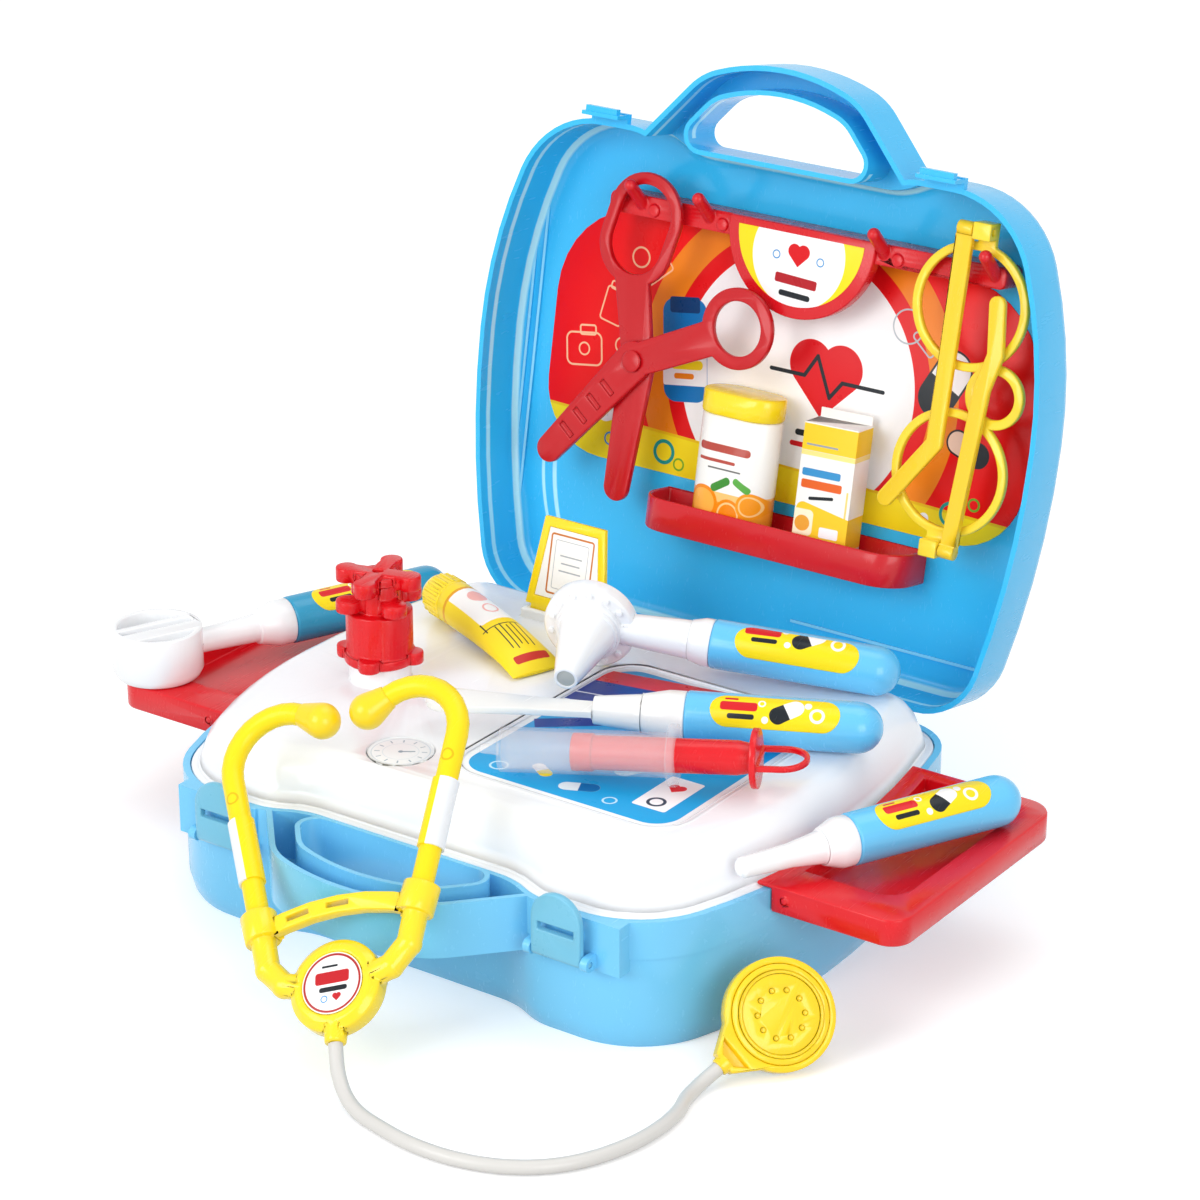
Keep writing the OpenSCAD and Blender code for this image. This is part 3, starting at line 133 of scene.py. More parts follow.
height = maths(moulded, "MULTIPLY_ADD", sink.outputs["Fac"], 6.0, skin.outputs["Fac"])
bump = put(moulded, "Bump", {"Height": height, "Strength": given["Ripple"], "Distance": 0.0002})
moulded.links.new(bump.outputs[0], out["Normal"])


def finish(name, colour, roughness=0.24, clouding=0.06, scuffs=0.06, ripple=0.2, scale=1.0, **shader):
    """A moulded-plastic material; shader holds plain values for the Principled sockets."""
    made = bpy.data.materials.new(name)
    made.use_nodes = True
    tree = made.node_tree
    look = use(
        tree,
        moulded,
        Colour=ink(colour),
        Clouding=clouding,
        Roughness=roughness,
        Scuffs=scuffs,
        Ripple=ripple,
        Scale=scale,
    )
    body = tree.nodes["Principled BSDF"]
    tree.links.new(look.outputs["Colour"], body.inputs["Base Color"])
    tree.links.new(look.outputs["Roughness"], body.inputs["Roughness"])
    tree.links.new(look.outputs["Normal"], body.inputs["Normal"])
    for key, value in {"Specular_IOR_Level": 0.35, **shader}.items():
        body.inputs[key.replace("_", " ")].default_value = value
    return made


def dress(name, material, edge=0.0004, angle=38):
    """Gives a CAD node its material, and softens its moulded edges by edge metres."""
    piece = nodes[name]
    for held in piece.material_slots:
        held.material = material
    for face in piece.data.polygons:
        face.use_smooth = True
    weld = piece.modifiers.new("weld", "WELD")
    weld.merge_threshold = 1e-6
    flat = piece.modifiers.new("flat faces", "DECIMATE")
    flat.decimate_type = "DISSOLVE"
    flat.angle_limit = math.radians(0.3)
    if not edge:
        piece.modifiers.new("crisp edges", "EDGE_SPLIT").split_angle = math.radians(angle)
        return piece
    round_off = piece.modifiers.new("soft edge", "BEVEL")
    round_off.width = edge
    round_off.segments = 2
    round_off.limit_method = "ANGLE"
    round_off.angle_limit = math.radians(angle)
    round_off.use_clamp_overlap = False
    round_off.harden_normals = True
    return piece


shell_blue = finish("shell blue", "#74CAF5", Coat_Weight=0.25, Coat_Roughness=0.12)
dress("base_shell", shell_blue, edge=0)

# ---- Hinge pins ----
# Two plain bright steel wires, pressed through the ears on the back wall of the base; the lid's
# knuckles turn on them.

pin_steel = finish("pin steel", "#B9BBBE", roughness=0.3, clouding=0.1, ripple=0.1, Metallic=1.0)
dress("hinge_pins", pin_steel, edge=0.0002)

# ---- Table insert ----
# The white stepped insert that closes the base and carries the toys: vacuum-thin gloss polystyrene
# with cool shadows in its steps.

insert_white = finish("insert white", "#F4F7FB", roughness=0.2, clouding=0.04, Coat_Weight=0.3)
dress("table_insert", insert_white, edge=0.0008)

# ---- Printed table card ----
# A coated card set in the insert: blue with a white border, bands of dark blue and red across the
# back, a plaster and a few capsules. Marks are drawn in millimetres on the plane of the card.

place, given, out = effect(
    "place on a print",
    [
        ("Origin", "Vector", (0, 0, 0)),
        ("Across", "Vector", (1, 0, 0)),
        ("Up", "Vector", (0, 1, 0)),
    ],
    [("Point", "Vector")],
)
spot = put(place, "TexCoord").outputs["Object"]
spot = vector(place, "SUBTRACT", vector(place, "MULTIPLY", spot, (1000, 1000, 1000)), given["Origin"])
along = vector(place, "DOT_PRODUCT", spot, given["Across"], out="Value")
upward = vector(place, "DOT_PRODUCT", spot, given["Up"], out="Value")
place.links.new(put(place, "CombineXYZ", {"X": along, "Y": upward}).outputs[0], out["Point"])

EDGE = 6.0  # how sharp a printed edge is, per millimetre


def inked(tree, distance):
    """Mask that is 1 where the distance is below 0."""
    return maths(tree, "MULTIPLY_ADD", distance, -EDGE, 0.5, clamp=True)


round_mark, given, out = effect(
    "round mark",
    [
        ("Point", "Vector", (0, 0, 0)),
        ("Centre", "Vector", (0, 0, 0)),
        ("Radius", "Float", 5.0),
        ("Line", "Float", 0.0),
    ],
    [("Fill", "Float"), ("Outline", "Float")],
)
away = vector(round_mark, "DISTANCE", given["Point"], given["Centre"], out="Value")
gap = maths(round_mark, "SUBTRACT", away, given["Radius"])
round_mark.links.new(inked(round_mark, gap), out["Fill"])
rim = maths(round_mark, "MULTIPLY_ADD", given["Line"], -0.5, maths(round_mark, "ABSOLUTE", gap))
round_mark.links.new(inked(round_mark, rim), out["Outline"])

box_mark, given, out = effect(
    "box mark",
    [
        ("Point", "Vector", (0, 0, 0)),
        ("Centre", "Vector", (0, 0, 0)),
        ("Half", "Vector", (5, 5, 0)),
        ("Corner", "Float", 1.0),
        ("Turn", "Float", 0.0),
        ("Line", "Float", 0.0),
    ],
    [("Fill", "Float"), ("Outline", "Float")],
)
spot = vector(box_mark, "SUBTRACT", given["Point"], given["Centre"])
back = maths(box_mark, "MULTIPLY", given["Turn"], -1.0)
spun = put(box_mark, "VectorRotate", {"Vector": spot, "Angle": back}, rotation_type="Z_AXIS")
inner = vector(box_mark, "SUBTRACT", vector(box_mark, "ABSOLUTE", spun.outputs[0]), given["Half"])
corner = put(box_mark, "CombineXYZ", {"X": given["Corner"], "Y": given["Corner"]}).outputs[0]
outer = vector(box_mark, "MAXIMUM", vector(box_mark, "ADD", inner, corner), (0, 0, 0))
gap = maths(box_mark, "SUBTRACT", vector(box_mark, "LENGTH", outer, out="Value"), given["Corner"])
box_mark.links.new(inked(box_mark, gap), out["Fill"])
rim = maths(box_mark, "MULTIPLY_ADD", given["Line"], -0.5, maths(box_mark, "ABSOLUTE", gap))
box_mark.links.new(inked(box_mark, rim), out["Outline"])


def printed(name, ground, marks, origin, across=(1, 0, 0), up=(0, 1, 0), roughness=0.28, **shader):
    """A print: a ground colour and marks laid over it in turn, in millimetres and degrees.
    ("disc", colour, x, y, r) or ("ring", colour, x, y, r, line)
    ("box", colour, x, y, half_x, half_y, corner, turn) or ("frame", the same, line)"""
    shader = dict(Specular_IOR_Level=0.2, **shader)
    made = finish(name, ground, roughness=roughness, clouding=0.03, scuffs=0.08, ripple=0.08, **shader)
    tree = made.node_tree
    coat = next(n for n in tree.nodes if n.type == "GROUP")
    point = use(tree, place, Origin=origin, Across=across, Up=up).outputs[0]
    colour = put(tree, "RGB").outputs[0]
    colour.default_value = ink(ground)
    for kind, shade, x, y, *rest in marks:
        if kind in ("disc", "ring"):
            line = rest[1] if kind == "ring" else 0.0
            mark = use(tree, round_mark, Point=point, Centre=(x, y, 0), Radius=rest[0], Line=line)
        else:
            half_x, half_y, bend, turn = rest[:4]
            line = rest[4] if kind == "frame" else 0.0
            mark = use(
                tree,
                box_mark,
                Point=point,
                Centre=(x, y, 0),
                Half=(half_x, half_y, 0),
                Corner=bend,
                Turn=math.radians(turn),
                Line=line,
            )
        mask = mark.outputs["Outline" if kind in ("ring", "frame") else "Fill"]
        laid = put(tree, "Mix", data_type="RGBA")
        tree.links.new(mask, laid.inputs["Factor"])
        tree.links.new(colour, laid.inputs[6])
        laid.inputs[7].default_value = ink(shade)
        colour = laid.outputs[2]
    tree.links.new(colour, coat.inputs["Colour"])
    return made


def capsule(x, y, half, r, turn, first, second):
    """A two-coloured capsule, lying along turn."""
    c, s = math.cos(math.radians(turn)), math.sin(math.radians(turn))
    return [
        ("box", first, x, y, half, r, r - 0.05, turn),
        ("disc", second, x + c * (half - r), y + s * (half - r), r),
        ("box", second, x + c * (half - r) / 2, y + s * (half - r) / 2, (half - r) / 2, r, 0.2, turn),
    ]


def plaster(x, y, half, r, turn, skin, pad):
    """A sticking plaster with its pad and a row of pin holes at each end."""
    c, s = math.cos(math.radians(turn)), math.sin(math.radians(turn))
    holes = [
        ("disc", pad, x + c * d * half - s * e * r, y + s * d * half + c * e * r, r * 0.09)
        for d in (-0.8, -0.62, 0.62, 0.8)
        for e in (-0.45, 0.0, 0.45)
    ]
    strip = ("box", skin, x, y, half, r, r - 0.05, turn)
    return [strip, ("box", pad, x, y, half * 0.36, r * 0.8, 1.0, turn)] + holes


def heart(x, y, size, colour):
    """A plain heart of two discs and a square on its corner."""
    r = size * 0.3
    lift = r * 0.72
    return [
        ("disc", colour, x - lift, y + lift, r),
        ("disc", colour, x + lift, y + lift, r),
        ("box", colour, x, y, r, r, 0.2, 45),
    ]


BLUE, DEEP, RED, WHITE, YELLOW = "#1FA6E4", "#1C3A96", "#E3242B", "#F8FAFC", "#FCE221"
table_marks = (
    [("box", BLUE, 46.5, 1, 47.6, 56, 11, 0)]
    + [("box", DEEP, 26, 36, 44, 11, 0.3, 12), ("box", WHITE, 26, 33, 40, 0.4, 0.2, 12)]
    + [("box", RED, 40, 53, 60, 5.5, 0.3, 10), ("box", DEEP, 14, 3, 17, 4, 0.3, 38)]
    + [("box", WHITE, 79, -30, 7.5, 14, 1.2, 0)]
    + [("ring", "#3A4A5C", 79, -38, 3.2, 1.3)]
    + heart(79, -25, 7, RED)
    + capsule(48, -44, 8, 3.4, 24, "#E8F4FB", "#0E6FB4")
    + capsule(28, -40, 6, 2.6, -32, "#FFFFFF", YELLOW)
    + plaster(58, -16, 12, 4.2, 62, "#BFE4F6", "#8CCBEA")
    + [("ring", "#BDE6FA", 64, -47, 2.6, 0.8), ("ring", "#BDE6FA", 12, -46, 3.4, 0.9)]
)
dress("table_print", printed("table card", "#F3F7FA", table_marks, (0, 0, 0)), edge=0.0001)

# ---- Dial ----
# A pressed paper disc in a round recess, with twelve moulded ticks and one short hand, as on a
# child's pulse dial.

dial_marks = [("ring", "#DDE5EC", -26, -58, 11.4, 0.5), ("ring", "#E6EDF2", -26, -58, 7.0, 0.4)]
for step in range(12):
    turn = math.radians(30 * step)
    dial_marks.append(
        ("box", "#AEBBC7", -26 + 9.2 * math.cos(turn), -58 + 9.2 * math.sin(turn), 1.1, 0.3, 0.25, 30 * step)
    )
dial_marks += [("box", "#93A3B1", -24, -56.6, 3.2, 0.45, 0.4, 35), ("disc", "#93A3B1", -26, -58, 1.0)]
dress("dial_disc", printed("dial card", "#F7F9FB", dial_marks, (0, 0, 0)), edge=0.0001)

# ---- Latches ----
# Two teal-blue snap latches that turn on moulded pins in the ears below the rim; each has a slot
# across it for a fingertip.

latch_blue = finish("latch blue", "#74BFDD", roughness=0.28, Coat_Weight=0.2)
for side in ("left", "right"):
    dress("latch_" + side, latch_blue, edge=0.0006)

# ---- Side trays ----
# Two red trays that plug into slots in the sides of the base: deep gloss red, a little darker
# where the plastic is thick.

toy_red = finish("toy red", "#DC0F1C", roughness=0.24, clouding=0.1, scuffs=0.16, Coat_Weight=0.12)
for side in ("left", "right"):
    dress("tray_" + side, toy_red, edge=0.0008)

# ---- Carousel ----
# The turning red stand for small bottles, pressed on a spigot of the table: a lobed foot, a drum
# and two stars of arms.

carousel_red = finish("carousel red", "#D90C18", roughness=0.26, clouding=0.08, scuffs=0.12, Coat_Weight=0.1)
dress("carousel", carousel_red, edge=0.0007)

# ---- Lid shell ----
# The upper half of the case, moulded in the base's plastic but a deeper blue, with the other half
# of the handle. Pale lines are painted round the inside of its wall, and two more low on the panel:
# painted highlights that stand in for light caught by moulded steps, which are not modelled.

LID_ORIGIN, LID_UP = (0, 118.2, 52), (0, 0.18224, 0.98325)
LID_CENTRE = (0, 0.1397, 0.168)
# Where the painted highlight lines lie, in millimetres in the lid's frame.
HIGHLIGHT_LINE_DEPTHS = ((7.5, 1.7), (25.5, 1.5))
PANEL_DEPTH = 27.9
PANEL_HIGHLIGHT_LINES = ((-113.5, 1.0), (-107.5, 1.3))
HIGHLIGHT_TOP, HIGHLIGHT_END, HIGHLIGHT_BOW = 56.0, 74.0, 0.006
CORNER_START = 66.0

lid_blue = finish("lid blue", "#33BDF4", roughness=0.24, clouding=0.07, Coat_Weight=0.15)
tree = lid_blue.node_tree
coat = next(n for n in tree.nodes if n.type == "GROUP")
spot = put(tree, "TexCoord").outputs
outward = vector(tree, "SUBTRACT", spot["Object"], LID_CENTRE)
facing = vector(tree, "DOT_PRODUCT", spot["Normal"], outward, out="Value")
inside = maths(tree, "LESS_THAN", facing, 0.0)
spot = vector(tree, "SUBTRACT", vector(tree, "MULTIPLY", spot["Object"], (1000, 1000, 1000)), LID_ORIGIN)
depth = vector(tree, "DOT_PRODUCT", spot, (0, LID_UP[2], -LID_UP[1]), out="Value")
rise = vector(tree, "DOT_PRODUCT", spot, LID_UP, out="Value")
sideways = put(tree, "SeparateXYZ", {"Vector": spot}).outputs["X"]


def bands(tree, value, places):
    """Mask with soft edges that is 1 where value is within half of middle, for each place."""
    found = 0.0
    for middle, half in places:
        off = maths(tree, "ABSOLUTE", maths(tree, "SUBTRACT", value, middle))
        near = put(tree, "MapRange", {"Value": off, "From Min": half, "From Max": half * 0.6}).outputs[0]
        found = maths(tree, "MAXIMUM", near, found)
    return found


# Painted highlight: pale lines at fixed depths inside the wall, and two low on the panel, stand in for light
# on unmodelled steps.
ledge_highlights = bands(tree, depth, HIGHLIGHT_LINE_DEPTHS)
drop = maths(tree, "MAXIMUM", maths(tree, "SUBTRACT", CORNER_START, rise), 0.0)
bow = maths(tree, "MULTIPLY_ADD", maths(tree, "MULTIPLY", drop, drop), -HIGHLIGHT_BOW, sideways)
low = put(tree, "MapRange", {"Value": rise, "From Min": HIGHLIGHT_END, "From Max": HIGHLIGHT_TOP}).outputs[0]
low = maths(tree, "MULTIPLY", low, bands(tree, depth, [(PANEL_DEPTH, 0.6)]))
panel_highlights = maths(tree, "MULTIPLY", bands(tree, bow, PANEL_HIGHLIGHT_LINES), low)
painted_highlight = maths(tree, "MULTIPLY", maths(tree, "MAXIMUM", ledge_highlights, panel_highlights), inside)
highlight_inputs = {"Factor": painted_highlight, 6: coat.outputs["Colour"], 7: ink("#B4F0FF")}
highlight_tint = put(tree, "Mix", highlight_inputs, data_type="RGBA")
tree.links.new(highlight_tint.outputs[2], tree.nodes["Principled BSDF"].inputs["Base Color"])
dress("lid_shell", lid_blue, edge=0)

# ---- Printed lid card ----
# A coated card on the lid's panel, drawn on the plane of the open lid: a white round on red, an
# orange arc, a yellow foot with bubbles, line drawings of first-aid things and a heartbeat.


def pulse(x, y, step, high, line, colour):
    """A heartbeat line: five strokes from x to the right."""
    knots = [(0, 0), (3, 0), (4, high), (5.4, -high * 0.8), (6.4, 0), (10, 0)]
    strokes = []
    for (ax, ay), (bx, by) in zip(knots, knots[1:]):
        dx, dy = (bx - ax) * step, by - ay
        half = math.hypot(dx, dy) / 2 + line / 2
        turn = math.degrees(math.atan2(dy, dx))
        middle = (x + (ax + bx) / 2 * step, y + (ay + by) / 2)
        strokes.append(("box", colour, *middle, half, line / 2, line / 2 - 0.01, turn))
    return strokes


ORANGE, CREAM, TEAL, INK = "#F58A1F", "#FFC59A", "#1D9C94", "#20262C"
lid_marks = (
    [("disc", ORANGE, 8.5, 119, 77), ("disc", "#E5141A", 8.5, 119, 64), ("disc", "#FBFCFD", 8.5, 119, 56.5)]
    + [("box", YELLOW, 0, 58.5, 140, 25.5, 0.3, -1.8), ("box", "#F3C91B", 0, 83.4, 140, 0.5, 0.3, -1.8)]
    # a roll of bandage, a pot and a bag in orange line, on the red at the left
    + [("frame", CREAM, -85, 134, 5.5, 7.5, 1.4, -12, 0.7)]
    + [("frame", CREAM, -84, 142.5, 3.4, 1.6, 0.9, -12, 0.7)]
    + [("frame", CREAM, -98, 113, 9, 7, 3.0, 8, 0.8), ("frame", CREAM, -97, 121.4, 4, 2, 1.0, 8, 0.8)]
    + [("ring", CREAM, -98, 113, 2.6, 0.7), ("ring", CREAM, -79, 118, 3.2, 0.7)]
    + [("ring", CREAM, -74, 157, 4.2, 0.8)]
    + [("frame", CREAM, -64, 152, 7, 2.2, 1.2, 40, 0.7)]
    # the blue bottle with its yellow cap, left of the middle
    + [("box", "#1277BF", -47, 122, 11, 22, 6, 8), ("box", "#0E3F73", -49.6, 141, 7.5, 3.4, 1.2, 8)]
    + [("box", WHITE, -46.4, 116, 11, 9, 1.0, 8), ("box", YELLOW, -45.4, 116, 8, 2.0, 1.9, 8)]
    + [("box", ORANGE, -46.2, 111, 5, 1.2, 1.1, 8)]
    # the big heart with its heartbeat in the middle
    + heart(22, 121, 34, "#D9161F")
    + pulse(-4, 123, 5.4, 9, 1.7, INK)
    + [("box", INK, 24, 99, 13, 1.3, 1.2, 0), ("box", "#D9161F", 18, 94, 9, 1.1, 1.0, 0)]
    # the black and white capsules at the right
    + capsule(78, 132, 15, 8, 62, INK, WHITE)
    + [("frame", INK, 78, 132, 15, 8, 7.9, 62, 0.9)]
    + capsule(92, 108, 10, 5, -20, "#F7D9C4", INK)
    + [("frame", INK, 92, 108, 10, 5, 4.9, -20, 0.8)]
    + [("ring", "#B9C2CA", 58, 152, 7, 0.7), ("frame", "#B9C2CA", 66, 146, 6, 1.6, 1.4, -40, 0.7)]
    + [("ring", "#4FB6E8", -30, 98, 2.6, 0.8)]
    # bubbles on the yellow
    + [("ring", TEAL, -52, 77, 4.6, 1.6), ("ring", "#6FAF2E", -44, 73, 2.4, 0.8)]
    + [("ring", "#2A8FD0", -80, 77, 2.6, 0.8)]
    + plaster(-76, 92, 13, 4.6, 24, "#FCFCFA", "#E3E8EC")
    + [("ring", TEAL, 88, 80, 4.6, 1.4), ("ring", "#6FAF2E", 98, 86, 2.4, 0.9), ("disc", WHITE, 76, 76, 2.2)]
)
dress("lid_print", printed("lid card", "#F20C10", lid_marks, LID_ORIGIN, up=LID_UP), edge=0.0001)

# ---- Hook rail ----
# A red moulding clipped to the panel along the top of the card: a rail with hooks, and the shield
# that hangs from its middle.

rail_red = finish("rail red", "#D5141F", roughness=0.26, clouding=0.1, Coat_Weight=0.12)
dress("hook_rail", rail_red, edge=0.0006)

# ---- Shield label ----
# A paper sticker in the shield's recess: white in the middle and yellow at both sides, with a
# heart and two bars.

shield_marks = (
    [("disc", "#FBFCFD", 12, 174, 22)]
    + heart(12, 173.5, 10, "#D9161F")
    + [("box", "#B3202A", 12, 163.5, 10, 2.0, 0.9, -3), ("box", INK, 12, 157.6, 7.5, 1.2, 1.1, -3)]
    + [("ring", "#2A8FD0", 1.5, 173, 1.6, 0.5), ("ring", "#2A8FD0", 22.5, 173, 1.6, 0.5)]
)
dress("shield_label", printed("shield sticker", YELLOW, shield_marks, LID_ORIGIN, up=LID_UP), edge=0.0001)

# ---- Shelf ----
# The red trough low on the lid's panel, which holds the bottle and the carton: a thin glossy
# moulding with rounded ends, clipped through the panel.

shelf_red = finish("shelf red", "#CE1622", roughness=0.24, clouding=0.1, Coat_Weight=0.15)
dress("lid_shelf", shelf_red, edge=0.0008)

# ---- Pill bottle ----
# A white oval bottle with a yellow press-on cap; its wrap-round label fades to orange at the foot
# and shows citrus slices and leaves.

bottle_marks = (
    [("box", "#F6A032", -7, 60, 40, 8, 0.3, 0), ("box", "#FBC777", -7, 69.6, 40, 2.0, 0.3, 0)]
    + [("disc", "#F28A12", -16, 66, 7.5), ("disc", "#F9B24B", -16, 66, 6.0)]
    + [("disc", "#F28A12", -3, 63, 6.5), ("ring", "#FCD08A", -3, 63, 4.8, 0.8)]
    + [("disc", "#F59B22", 6, 68, 5.6), ("ring", "#FCD08A", 6, 68, 4.0, 0.7)]
    + [("box", "#3E8E35", -8, 75, 5, 1.7, 1.6, 32), ("box", "#5BAA46", 2, 76, 4.4, 1.5, 1.4, -28)]
    + [("box", "#B5483C", -8, 90, 12.5, 1.7, 1.5, 0), ("box", "#B5483C", -11, 84.6, 9, 0.7, 0.6, 0)]
    + [("box", "#6A6A6A", -7, 81.4, 8, 0.35, 0.3, 0)]
)
bottle_print = printed(
    "bottle label", "#F5F4F0", bottle_marks, LID_ORIGIN, up=LID_UP, roughness=0.24, Coat_Weight=0.2
)
dress("pill_bottle", bottle_print, edge=0.0008)
toy_yellow = finish("toy yellow", "#FBDD1E", roughness=0.22, clouding=0.07, scuffs=0.14, Coat_Weight=0.3)
dress("bottle_cap", toy_yellow, edge=0.0012)

# ---- Carton ----
# A folded card box with a tuck flap: white, with a yellow top band, bars in blue and orange and a
# small jar. It stands turned a little, so its print is drawn along its own front.

CARTON_X, CARTON_FOOT, CARTON_TURN = 39, 51.3, math.radians(8)
carton_marks = (
    [("box", "#F9CF2E", 0, 52, 20, 5.5, 0.3, 0), ("box", "#FBE58C", 0, 45.4, 20, 1.0, 0.3, 0)]
    + [("box", "#3C93CB", 0, 37.5, 8.5, 1.6, 0.8, 0), ("box", "#E8662A", 0.6, 32.6, 9, 1.8, 0.8, 0)]
    + [("box", INK, 1, 27.4, 5.5, 0.7, 0.6, 8), ("box", "#9AA3AA", -1, 49, 7, 0.4, 0.3, 0)]
    + [("box", "#F9CF2E", 2, 13, 13, 10, 3, -12), ("box", "#FFF4D2", -6, 16.5, 4.6, 5.4, 2, 0)]
    + [("disc", "#EFA63A", -6, 16, 3.3), ("box", WHITE, 6, 13.5, 4.2, 2.2, 0.8, 0)]
    + [("box", "#F9CF2E", 12.35, 15, 0.42, 17, 0.05, 0)]
)
carton_print = printed(
    "carton print",
    "#F7F6F1",
    carton_marks,
    (CARTON_X, LID_ORIGIN[1] + LID_UP[1] * CARTON_FOOT, LID_ORIGIN[2] + LID_UP[2] * CARTON_FOOT),
    across=(
        math.cos(CARTON_TURN),
        math.sin(CARTON_TURN) * LID_UP[2],
        -math.sin(CARTON_TURN) * LID_UP[1],
    ),
    up=LID_UP,
    roughness=0.42,
)
dress("carton", carton_print, edge=0.0003)

# ---- Scissors ----
# Two flat halves in red plastic that turn on a stud moulded on the long one. They hang by the
# long loop, and one blade has shallow ribs.

scissor_red = finish("scissor red", "#C20C18", roughness=0.28, clouding=0.12, scuffs=0.2, Coat_Weight=0.1)
for half in ("long", "round"):
    dress("scissor_half_" + half, scissor_red, edge=0.0006)

# ---- Glasses ----
# Toy glasses without lenses, moulded in yellow plastic and hung by one ring; the temples, a
# little deeper in colour, turn on pins at the frame's ends and lie folded across the front.

glasses_yellow = finish("glasses yellow", "#FADB33", roughness=0.24, clouding=0.06, Coat_Weight=0.3)
temple_yellow = finish("temple yellow", "#F7CE22", roughness=0.24, clouding=0.06, Coat_Weight=0.3)
dress("glasses_frame", glasses_yellow, edge=0.0006)
for end in ("upper", "lower"):
    dress("temple_" + end, temple_yellow, edge=0.0006)

# ---- Hammer, thermometer, otoscope and tongue depressor ----
# Four hand tools of one make: a glossy white working end pressed into a plain sky-blue grip, with a
# rounded yellow sticker on the side that faces up.

toy_white = finish("toy white", "#F3F5F7", roughness=0.18, clouding=0.035, Coat_Weight=0.35)
hammer_blue = finish("hammer blue", "#2A9CC6", roughness=0.24, clouding=0.06, Coat_Weight=0.25)
grip_blue = finish("grip blue", "#66C4F3", roughness=0.24, clouding=0.05, Coat_Weight=0.25)
blade_cream = finish("blade cream", "#F2F3F1", roughness=0.22, clouding=0.05, Coat_Weight=0.25)
lens_grey = finish("lens grey", "#B5B8B4", roughness=0.4, clouding=0.1)

for name, white in (
    ("hammer_head", toy_white),
    ("thermometer_probe", toy_white),
    ("depressor_blade", blade_cream),
):
    dress(name, white, edge=0.0005)
dress("otoscope_head", toy_white, edge=0.00025)
dress("otoscope_lens", lens_grey, edge=0.0001)

GRIP_LENGTH = 76
STICKER_AT = 0.46
sticker_marks = (
    [("box", "#D8232A", -14, 1.5, 7.2, 1.9, 1.2, 0), ("box", INK, -13, -2.6, 5.2, 1.0, 0.9, 0)]
    + [("box", "#D8232A", -17, 4.7, 2.6, 0.5, 0.4, 0)]
    + capsule(4.5, 0.4, 7, 3.4, 28, INK, "#FDFDFD")
    + [("disc", WHITE, 12.5, 3.4, 1.4), ("ring", WHITE, 16.2, -0.6, 2.4, 1.1)]
    + [("disc", WHITE, -3.6, -3.4, 1.3), ("ring", WHITE, -5.2, 3.2, 1.2, 0.6)]
)
for tool, (x, y, z), yaw, grip_start, roll, blue in (
    ("hammer", (-177.7, -26, 65.3), 66.5, 60, 25, hammer_blue),
    ("thermometer", (126, -54.2, 65.3), 64.6, 47.5, 25, grip_blue),
    ("otoscope", (-12, 49, 92), 21, 50, 45, grip_blue),
    ("depressor", (-33, -32.6, 83.8), 25.8, 102, 43, grip_blue),
):
    yaw, roll = math.radians(yaw), math.radians(roll)
    middle = grip_start + GRIP_LENGTH * STICKER_AT
    sticker = printed(
        tool + " sticker",
        "#FBE01E",
        sticker_marks,
        (x + middle * math.cos(yaw), y + middle * math.sin(yaw), z),
        across=(math.cos(yaw), math.sin(yaw), 0),
        up=(-math.sin(yaw) * math.cos(roll), math.cos(yaw) * math.cos(roll), math.sin(roll)),
        roughness=0.24,
    )
    dress(tool + "_grip", blue, edge=0.0004)
    dress(tool + "_label", sticker, edge=0.0001)

# ---- Syringe ----
# A thin milky barrel, moulded in one with its flange, and a red plunger with a thumb disc and a
# ring, which shows pink through the barrel.

barrel_milk = finish(
    "barrel milk",
    "#F6F3F6",
    roughness=0.22,
    clouding=0.02,
    scuffs=0.05,
    ripple=0.02,
    Alpha=0.2,
)
dress("syringe_barrel", barrel_milk, edge=0.0004)
dress("syringe_plunger", toy_red, edge=0.0004)

# ---- Ointment tube ----
# A soft yellow tube with a crimped end, printed with a white window and fine lines, and a yellow
# ribbed cap.

yaw = math.radians(-20.8)
tube_marks = (
    [("box", "#FBFBF8", 33, 1, 13, 8.5, 1.5, 0)]
    + [("disc", "#F3B7B0", 28, 2, 4.2), ("ring", "#F3B7B0", 38, 2, 3.0, 0.8)]
    + [("box", INK, 57, 6 - 2.4 * row, 8 - 0.9 * (row % 3), 0.28, 0.25, 0) for row in range(5)]
    + [("box", "#C9342A", 70, 1, 1.8, 8, 1.0, 0), ("box", "#E8A61C", 20, 0, 0.8, 14, 0.3, 0)]
    + [("box", INK, 48, -7.6, 3, 0.25, 0.22, 0), ("box", INK, 49.5, 0, 0.25, 9, 0.22, 0)]
)
tube_print = printed(
    "tube print",
    "#FBDF2B",
    tube_marks,
    (-96, 57, 0),
    across=(math.cos(yaw), math.sin(yaw), 0),
    up=(-math.sin(yaw), math.cos(yaw), 0),
    roughness=0.3,
)
dress("ointment_tube", tube_print, edge=0.0003)
dress("ointment_cap", toy_yellow, edge=0.0003)

# ---- Chart ----
# A yellow stand that plugs into the table and leans back, with a paper card pressed into its
# recess: white, with an orange and a grey line round it and three lines of grey.

LEAN = math.radians(12)
chart_up = (0, math.sin(LEAN), math.cos(LEAN))
chart_marks = (
    [("frame", "#C9742B", 0, 23, 10.5, 12.5, 1.0, 0, 0.8)]
    + [("frame", "#B9BEC3", 0, 23, 8.2, 10.2, 0.8, 0, 0.35)]
    + [("box", "#A8AEB4", 0, 27 - 3.2 * row, 5.5 - 0.8 * (row % 2), 0.3, 0.25, 0) for row in range(3)]
)
dress("chart_frame", toy_yellow, edge=0.0004)
dress("chart_card", printed("chart card", "#FAFAF7", chart_marks, (-46, 78, 74.2), up=chart_up), edge=0.0001)

# ---- Stethoscope ----
# A yellow yoke with two bent ear tubes on a slotted spring, pale sleeves and soft round tips, a
# sticker on the yoke, and a flat round chest piece with a sound grille.

